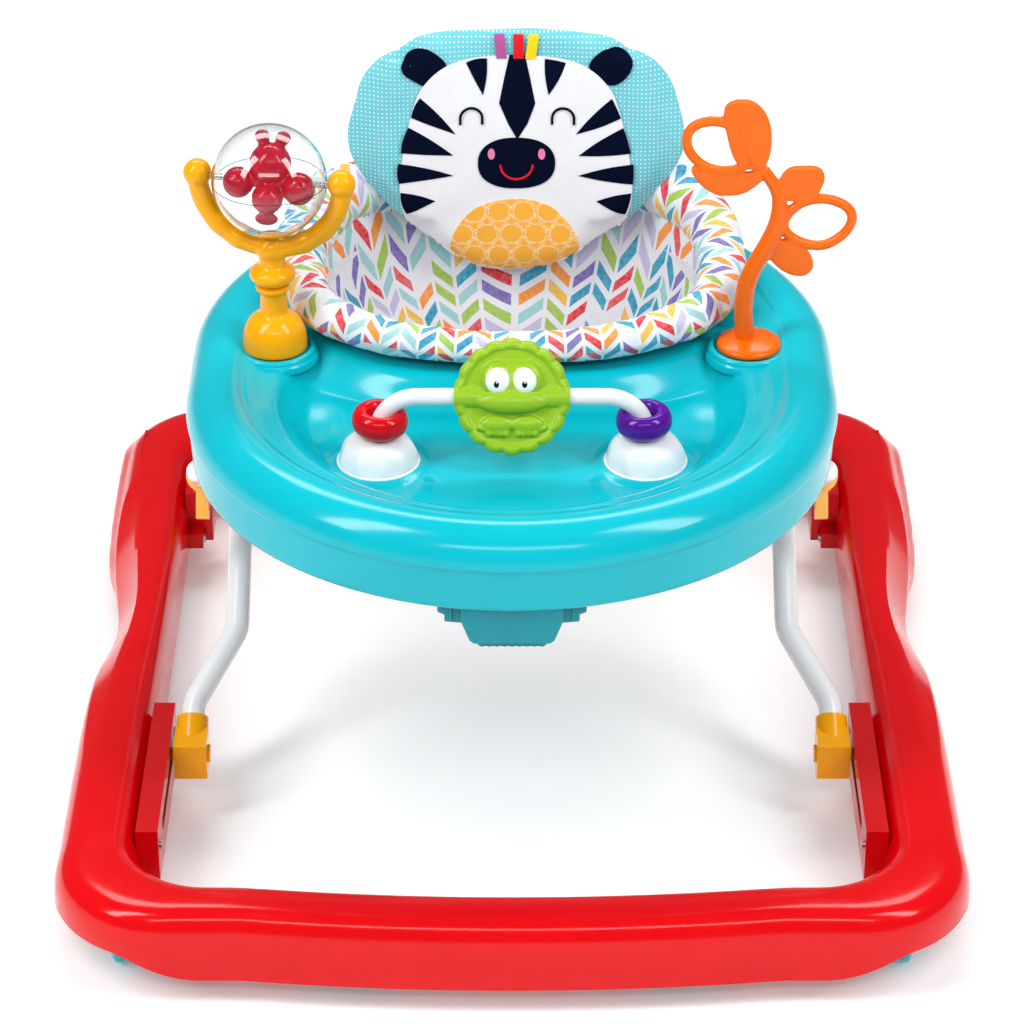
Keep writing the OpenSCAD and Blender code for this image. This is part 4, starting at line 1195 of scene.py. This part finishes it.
def make_face(pad):
    skin = Skin(pad)
    head = soften([(FACE_X + x, h) for x, h in HEAD + [(-x, h) for x, h in HEAD[-2:0:-1]]], 3, closed=True)
    for name, outline in EARS.items():
        patch("ear_" + name, soften(outline, 3, closed=True), skin, 1.6, "navy_cloth", thick=1.4)
    patch("head_panel", head, skin, 2.0, "white_cloth", thick=1.2)
    for k, stripe in enumerate(STRIPES):
        for side, name in ((-1, "left"), (1, "right")):
            outline = [(FACE_X + x * 1.015, h) for x, h in bowed(flipped(stripe, side))]
            patch(f"stripe_{name}_{k + 1}", outline, skin, 2.6, "navy_cloth")
    patch("forelock", FORELOCK, skin, 2.6, "navy_cloth")
    patch("muzzle", oval(3.5, 101, 30, 21.5, 48, 0.86), skin, 2.9, "navy_cloth")
    for x, name in ((-16, "left"), (23, "right")):
        patch("nostril_" + name, oval(x, 109, 2.8, 4.6, 20), skin, 3.6, "pink_cloth")
    thread_line("smile", arc((3.5, 100), 12.5, 180, 360, 24), skin, 3.5, 0.9, "red_thread")
    for x, name in ((-31.5, "left"), (39.5, "right")):
        lid = [(x - 8.5, 134)] + arc((x, 139), 8.5, 178, 2, 20) + [(x + 8.5, 134)]
        thread_line("eyelid_" + name, lid, skin, 2.7, 1.05, "navy_thread")
    patch("chest_patch", soften(CHEST, 3, closed=True), skin, 2.7, "orange_lace")
    for x, lean, name in ((-8, -2, "purple_ribbon"), (5, 0, "red_ribbon"), (14, 3, "yellow_ribbon")):
        strip = [(x - 4, 188), (x + 4, 188), (x + 4 + lean, 207), (x - 4 + lean, 207)]
        patch("tag_" + name.split("_")[0], strip, skin, 3.0, name, thick=1.0)


# ---------------------------------------------------------------- toys
BALL_R, BALL_Z, BALL_SHELL, SPIN_YAW = 44, 494, 1.6, -10.4
ARM_R = 56
TOY_FOOT_Z = DECK_Z + 1.7
# The plug under each toy's foot, hidden in the tray
PLUG = [(0, -28), (7.6, -28), (7.6, 0.5), (0, 0.5)]


def at_ball(shape):
    """From the ball's own axes to the frame."""
    return placed(shape, turn("Z", SPIN_YAW), (-TOY_X, TOY_Y, BALL_Z))


def make_spinner():
    base = [(0, 0), (24.5, 0), (25, 2), (25, 8), (24, 15), (21, 22), (16.5, 27), (12.5, 29.5),
            (10.8, 32), (10.3, 36), (10.3, 46), (11, 49), (13, 50.4), (13.6, 52.4), (12.8, 54.2),
            (9, 55.2), (9, 56), (0, 56)]
    foot = joined(lathe(soften(base, 2), 72), lathe(PLUG, 40))
    new_piece("spinner_foot", placed(foot, move=(-TOY_X, TOY_Y, TOY_FOOT_Z)), "yellow_plastic",
              "tray", "spinner_base", crease=50)
    a = np.radians(np.linspace(-180, 0, 73))
    # The arms thicken at four places, given in degrees from their lowest point
    from_low = np.degrees(a) + 90
    lobes = sum((size * np.exp(-((from_low - place) / 5) ** 2)
                 for place, size in ((27, 0.9), (-27, 0.9), (46, 0.7), (-46, 0.7))), 8)
    arm = tube([(ARM_R * math.cos(t), 0, ARM_R * math.sin(t)) for t in a], lobes, 28)
    hub = ball((0, 0, -57), 13, 32, (1, 0.95, 0.9))
    knobs = [ball((side * ARM_R, 0, 2), 11, 32) for side in (-1, 1)]
    upper = at_ball(joined(arm, hub, *knobs))
    neck = [(0, 0), (11, 0), (14.6, 1.6), (17.4, 4.6), (18, 7.6), (17, 11), (13.4, 13.6), (10.4, 15),
            (10, 19), (11, 23), (0, 25)]
    low = lathe(soften(neck, 2), 72, (-TOY_X, TOY_Y, 407.8))
    pin = lathe([(0, -22), (4, -22), (4, 6), (0, 6)], 32, (-TOY_X, TOY_Y, 408.5))
    moulded("spinner_arms", joined(upper, low, pin), "yellow_plastic", "spinner", "spinner_fork",
            voxel=1.0, smoothing=5)
    for sign, name in ((1, "upper"), (-1, "lower")):
        half = [(r * math.cos(t), sign * r * math.sin(t))
                for r, start in ((BALL_R, 0), (BALL_R - BALL_SHELL, 90))
                for t in np.radians(np.linspace(start, 90 - start, 33))]
        new_piece("ball_" + name, at_ball(lathe(half, 96, closed=True)), "clear_plastic", "ball",
                  "ball_shell_" + name, crease=60)
    bug = [ball((0, 0, 12.5), 16.2, 40, (1, 0.95, 1.02)), ball((-24, 0, -3), 12, 36),
           ball((23, 0, -4.5), 12.6, 36), ball((0, -3, -13.5), 12, 36),
           ball((-7.5, 0, 33), 5.4, 24, (1.15, 0.85, 1)), ball((8.5, 0, 32.5), 5.4, 24, (1.15, 0.85, 1)),
           tube([(-7, 0, 14), (-7.5, 0, 31)], 3, 14), tube([(7, 0, 14), (8, 0, 30)], 3, 14),
           tube([(-24, 0, 0), (24, 0, 0)], 5.5, 20), ball((0, -1, -29), 7, 28, (1.3, 0.9, 0.7))]
    bug = [placed(part, turn("X", -24)) for part in bug]
    moulded("ball_bug", at_ball(joined(*bug)), "bug_red", "ball", "ball_beads", voxel=0.9, smoothing=3)


# The plant in its own upright plane, as [across, up] from its foot
STALK = [(-3, 4), (-6, 38), (-2, 62), (10, 85), (18, 103), (20, 120), (18, 134), (6, 152)]
LEAVES = [[(-26, 201), (-21, 207), (-13, 209), (-3, 208), (6, 200), (11, 188), (12, 176), (11, 164),
           (7, 153), (-8, 152), (-17, 160), (-23, 182)],
          [(-50, 153), (-44, 154), (-32, 148), (-19, 147), (-5, 149), (9, 153), (5, 142), (-1, 137),
           (-8, 132), (-20, 130), (-32, 132), (-43, 141)],
          [(18, 143), (24, 152), (33, 154), (48, 154), (54, 147), (50, 134), (44, 127), (31, 125),
           (20, 128)],
          [(12, 78), (21, 68), (32, 62), (42, 62), (48, 69), (46, 79), (39, 86), (27, 92), (18, 92)]]
LOOPS = [[(-24, 191), (-38, 192), (-49, 187), (-53, 178), (-51, 167), (-43, 157), (-32, 151),
          (-18, 150), (-6, 155), (-10, 172), (-16, 186)],
         [(24, 112), (35, 124), (50, 128), (64, 125), (74, 118), (76, 108), (70, 97), (58, 88),
          (46, 87), (32, 92), (23, 101)]]


def upright(points):
    return np.array([(x, 0, z) for x, z in points])


def make_plant():
    way = filled_in(upright(soften(STALK, 3)), 3)
    parts = [tube(way, np.interp(np.linspace(0, 1, len(way)), [0, 0.6, 1], [7.4, 6.8, 4.6]), 24)]
    for outline in LEAVES:
        parts.append(extruded(soften(outline, 2, closed=True), 7.0))
    for loop in LOOPS:
        parts.append(tube(upright(soften(loop, 3, closed=True)), 4.0, 16, closed=True))
    vein = soften([(-14, -3.4, 196), (-9, -3.4, 176), (-2, -3.4, 158)], 2)
    parts.append(tube(filled_in(vein, 3), 1.4, 10))
    foot_place = (TOY_X, TOY_Y, TOY_FOOT_Z)
    moulded("plant_stem", placed(joined(*parts), move=foot_place), "orange_plastic", "tray",
            "plant_stalk", voxel=1.1, smoothing=6)
    foot = [(0, 0), (24.4, 0), (25, 1.2), (25, 3), (24, 4.6), (21, 6), (14, 7.6), (9, 8.6), (0, 9)]
    shape = joined(lathe(soften(foot, 2), 80), lathe(PLUG, 40))
    new_piece("plant_foot", placed(shape, move=foot_place), "orange_plastic", "tray", "plant_base",
              crease=50)


BAR_R, BAR_Z, BAR_BEND, BEAD_Z = 6.5, 383, 30, 363


def dome():
    """A dome with nine faint lobes round its foot, in a thin collar."""
    steps, rows = 96, []
    angles = [2 * math.pi * k / steps for k in range(steps)]
    profile = soften([(0.1, 23.5), (12, 23), (19, 20.5), (25, 16), (28.6, 10), (30.2, 4), (30, 0.2)], 3)
    for r, z in profile:
        share = smooth_step(r, 16, 30)
        row = []
        for t in angles:
            cloud = 1.1 * abs(math.sin(4.5 * t)) * share * smooth_step(z, 0, 6)
            row.append(((r - cloud) * math.cos(t), (r - cloud) * math.sin(t), z))
        rows.append(row)
    rows.append([(0.1 * math.cos(t), 0.1 * math.sin(t), 0.2) for t in angles])
    collar = soften([(28, -0.4), (31.2, -0.4), (31.6, 0.8), (30.6, 1.6), (28, 1.8)], 1)
    return joined(grid(rows, close_columns=True), lathe(collar, 96, closed=True))


def make_play_bar():
    for side, name in ((-1, "left"), (1, "right")):
        new_piece("dome_" + name, placed(dome(), move=(side * DOME_X, DOME_Y, FLOOR_Z + 0.4)),
                  "white_plastic", "tray", *(["bar_domes"] if side < 0 else []), crease=50)
    route = rounded_route([(-DOME_X, DOME_Y, FLOOR_Z + 5), (-DOME_X, DOME_Y, BAR_Z), (DOME_X, DOME_Y, BAR_Z),
                           (DOME_X, DOME_Y, FLOOR_Z + 5)], BAR_BEND, 16)
    new_piece("play_bar_tube", tube(filled_in(route, 5), BAR_R, 32), "white_plastic", "tray", "play_bar",
              crease=50)
    # Each bead rests low on the bend of the bar
    start = math.asin((BEAD_Z - (BAR_Z - BAR_BEND)) / BAR_BEND)
    middle = (DOME_X - BAR_BEND + BAR_BEND * math.cos(start), DOME_Y, BEAD_Z)
    hole, wide, tall = 7.8, 6.7, 9.6
    ring = [(hole + wide + wide * math.cos(t), tall * math.sin(t))
            for t in np.linspace(0, 2 * math.pi, 40, endpoint=False)]
    bead = placed(lathe(ring, 80, closed=True), turn("Y", -4), middle)
    new_piece("ring_bead_left", mirrored(bead), "bead_red", "left_bead", "bead_left")
    new_piece("ring_bead_right", bead, "bead_purple", "right_bead", "bead_right")


DISC_TILT = 25


def on_disc(shape):
    """From the disc's own axes, its face up +Z, to the frame."""
    return placed(shape, turn("X", 90 - DISC_TILT), (0, DOME_Y, BAR_Z))


def disc_body(face):
    """One half of the disc, with a scalloped, raised rim. Face is 1 for the front and -1 for the rear."""
    steps = 216
    rows = []
    profile = [(0.2, 5.4), (20, 5.4), (34, 5.2), (35.5, 5.4), (37, 7.2), (39, 8.0), (41, 7.4), (43, 5.6),
               (43.8, 3.0), (43.6, 0.3), (0.2, 0.3)]
    for r, z in soften(profile, 2):
        row = []
        for k in range(steps):
            t = 2 * math.pi * k / steps
            lobe = abs(math.sin(9 * t)) ** 0.7
            share = smooth_step(r, 34, 41)
            rr = r - 2.0 * (1 - lobe) * share
            zz = z - 1.2 * (1 - lobe) * share * (z > 1)
            row.append((rr * math.cos(t), rr * math.sin(t), zz * face))
        rows.append(row)
    # The sleeve round the bar, cut flat at the disc's middle plane
    points, faces = tube([(x, 0, 0.4 * face) for x in np.linspace(-43, 43, 20)], 9.2, 28)
    points[:, 2] = np.where(points[:, 2] * face < 0.3, 0.3 * face, points[:, 2])
    return [grid(rows, close_columns=True), (points, faces)]


def make_disc():
    front = disc_body(1)
    # Head, cheeks under the eyes, upper lip, hands with their fingers, and arms
    front += [ball((0, 10, 5), 1, 36, (25, 17, 6)), ball((-11, 13.5, 6), 1, 32, (12.5, 13.5, 6.6)),
              ball((11, 13.5, 6), 1, 32, (12.5, 13.5, 6.6)), ball((0, -3, 7.5), 1, 40, (27, 9, 7.5))]
    front += [ball((side * 11, -20, 6), 1, 24, (13, 6.5, 4.2)) for side in (-1, 1)]
    front += [ball((side * x, -26 - 0.08 * abs(x - 12), 6.4), 1, 16, (2.6, 3.2, 2.6))
              for side in (-1, 1) for x in (4.5, 8.5, 12.5, 17)]
    front += [tube([(side * 20, -24, 6), (side * 26, -22, 6.5)], 2.0, 12) for side in (-1, 1)]
    mouth = arc((0, 22), 27, 245, 295, 24)
    front.append(tube([(x, y, 13.0 - 0.012 * x * x) for x, y in mouth], 0.9, 10))
    moulded("frog_face", on_disc(joined(*front)), "green_plastic", "disc", "disc_front",
            voxel=0.75, smoothing=3)
    eyes = [ball((side * 10.2 - 0.5, 13, 8.2), 1, 40, (9.8, 10.5, 6.2)) for side in (-1, 1)]
    moulded("frog_eyes", on_disc(joined(*eyes)), "eye_white", "disc", "disc_eyes",
            voxel=0.6, smoothing=2)
    pupils = [ball((side * 10.4 - 1, 10.6, 13.2), 1, 24, (2.3, 3.2, 1.6)) for side in (-1, 1)]
    new_piece("frog_pupils", on_disc(joined(*pupils)), "black_plastic", "disc")
    glints = [ball((side * 10.4 - 0.8, 11.6, 14.7), 1, 12, (0.7, 0.8, 0.4)) for side in (-1, 1)]
    new_piece("frog_glints", on_disc(joined(*glints)), "eye_white", "disc")
    # The rear half has two raised rings
    around = np.linspace(0, 2 * math.pi, 60, endpoint=False)
    rings = [tube([(r * math.cos(t), r * math.sin(t), -5.6) for t in around], 1.2, 10, closed=True)
             for r in (14, 24)]
    moulded("disc_rear", on_disc(joined(*disc_body(-1), *rings)), "green_plastic", "disc", "disc_back",
            voxel=0.9, smoothing=3)


# ---------------------------------------------------------------- height adjuster
def slab(outline, back, front):
    """A plate with an outline [across, up], from one Y to another."""
    return placed(extruded(outline, back - front), move=(0, (front + back) / 2, 0))


def both_halves(outline):
    """An outline's right-hand half, with its mirror image added."""
    return outline + [(-x, z) for x, z in outline[::-1]]


def make_adjuster():
    body = [slab(both_halves([(54, 301), (54, 285), (49, 283), (49, 277), (38, 276)]), -228, -291),
            slab(both_halves([(56, 301), (56, 297), (54, 295)]), -227, -294),
            slab(both_halves([(37, 300), (37, 282), (31, 266), (28, 263)]), -227, -299)]
    for side in (-1, 1):
        rib = [(side * 43, 297), (side * 45.5, 297), (side * 45.5, 279), (side * 43, 279)]
        body.append(slab(rib, -230, -294))
    piece = new_piece("adjuster_body", joined(*body), "dark_teal_plastic", "tray", "adjuster_housing")
    bevelled(piece, 1.2)
    grip = [slab(both_halves([(27, 262), (25, 251), (23, 250)]), -250, -282),
            slab(both_halves([(25, 267.5), (25, 261)]), -238, -282)]
    for x in np.linspace(-22, 22, 9):
        grip.append(slab([(x - 1.4, 261), (x + 1.4, 261), (x + 1.4, 251.5), (x - 1.4, 251.5)], -280, -285))
    grip.append(slab([(-20, 283), (20, 283), (20, 267), (-20, 267)], -240, -246))
    piece = new_piece("adjuster_grip", joined(*grip), "dark_teal_plastic", "handle", "adjuster_handle")
    bevelled(piece, 0.8)


# ---------------------------------------------------------------- CAD nodes that stay
def paint_cad():
    """Every CAD node that still shows gets its slot's material, and soft edges."""
    slots = {entry["node"]: entry["material_slot"] for entry in frame["record"]["subparts"]}
    for name, piece in nodes.items():
        if piece.hide_render:
            continue
        piece.data.materials.clear()
        piece.data.materials.append(M[slots[name]])
        bevelled(piece, 0.9)


make_camera()
make_studio()
make_base()
make_tubes()
make_tray()
make_roll()
make_bucket()
make_face(make_back())
make_spinner()
make_plant()
make_play_bar()
make_disc()
make_adjuster()
paint_cad()

bpy.context.view_layer.update()
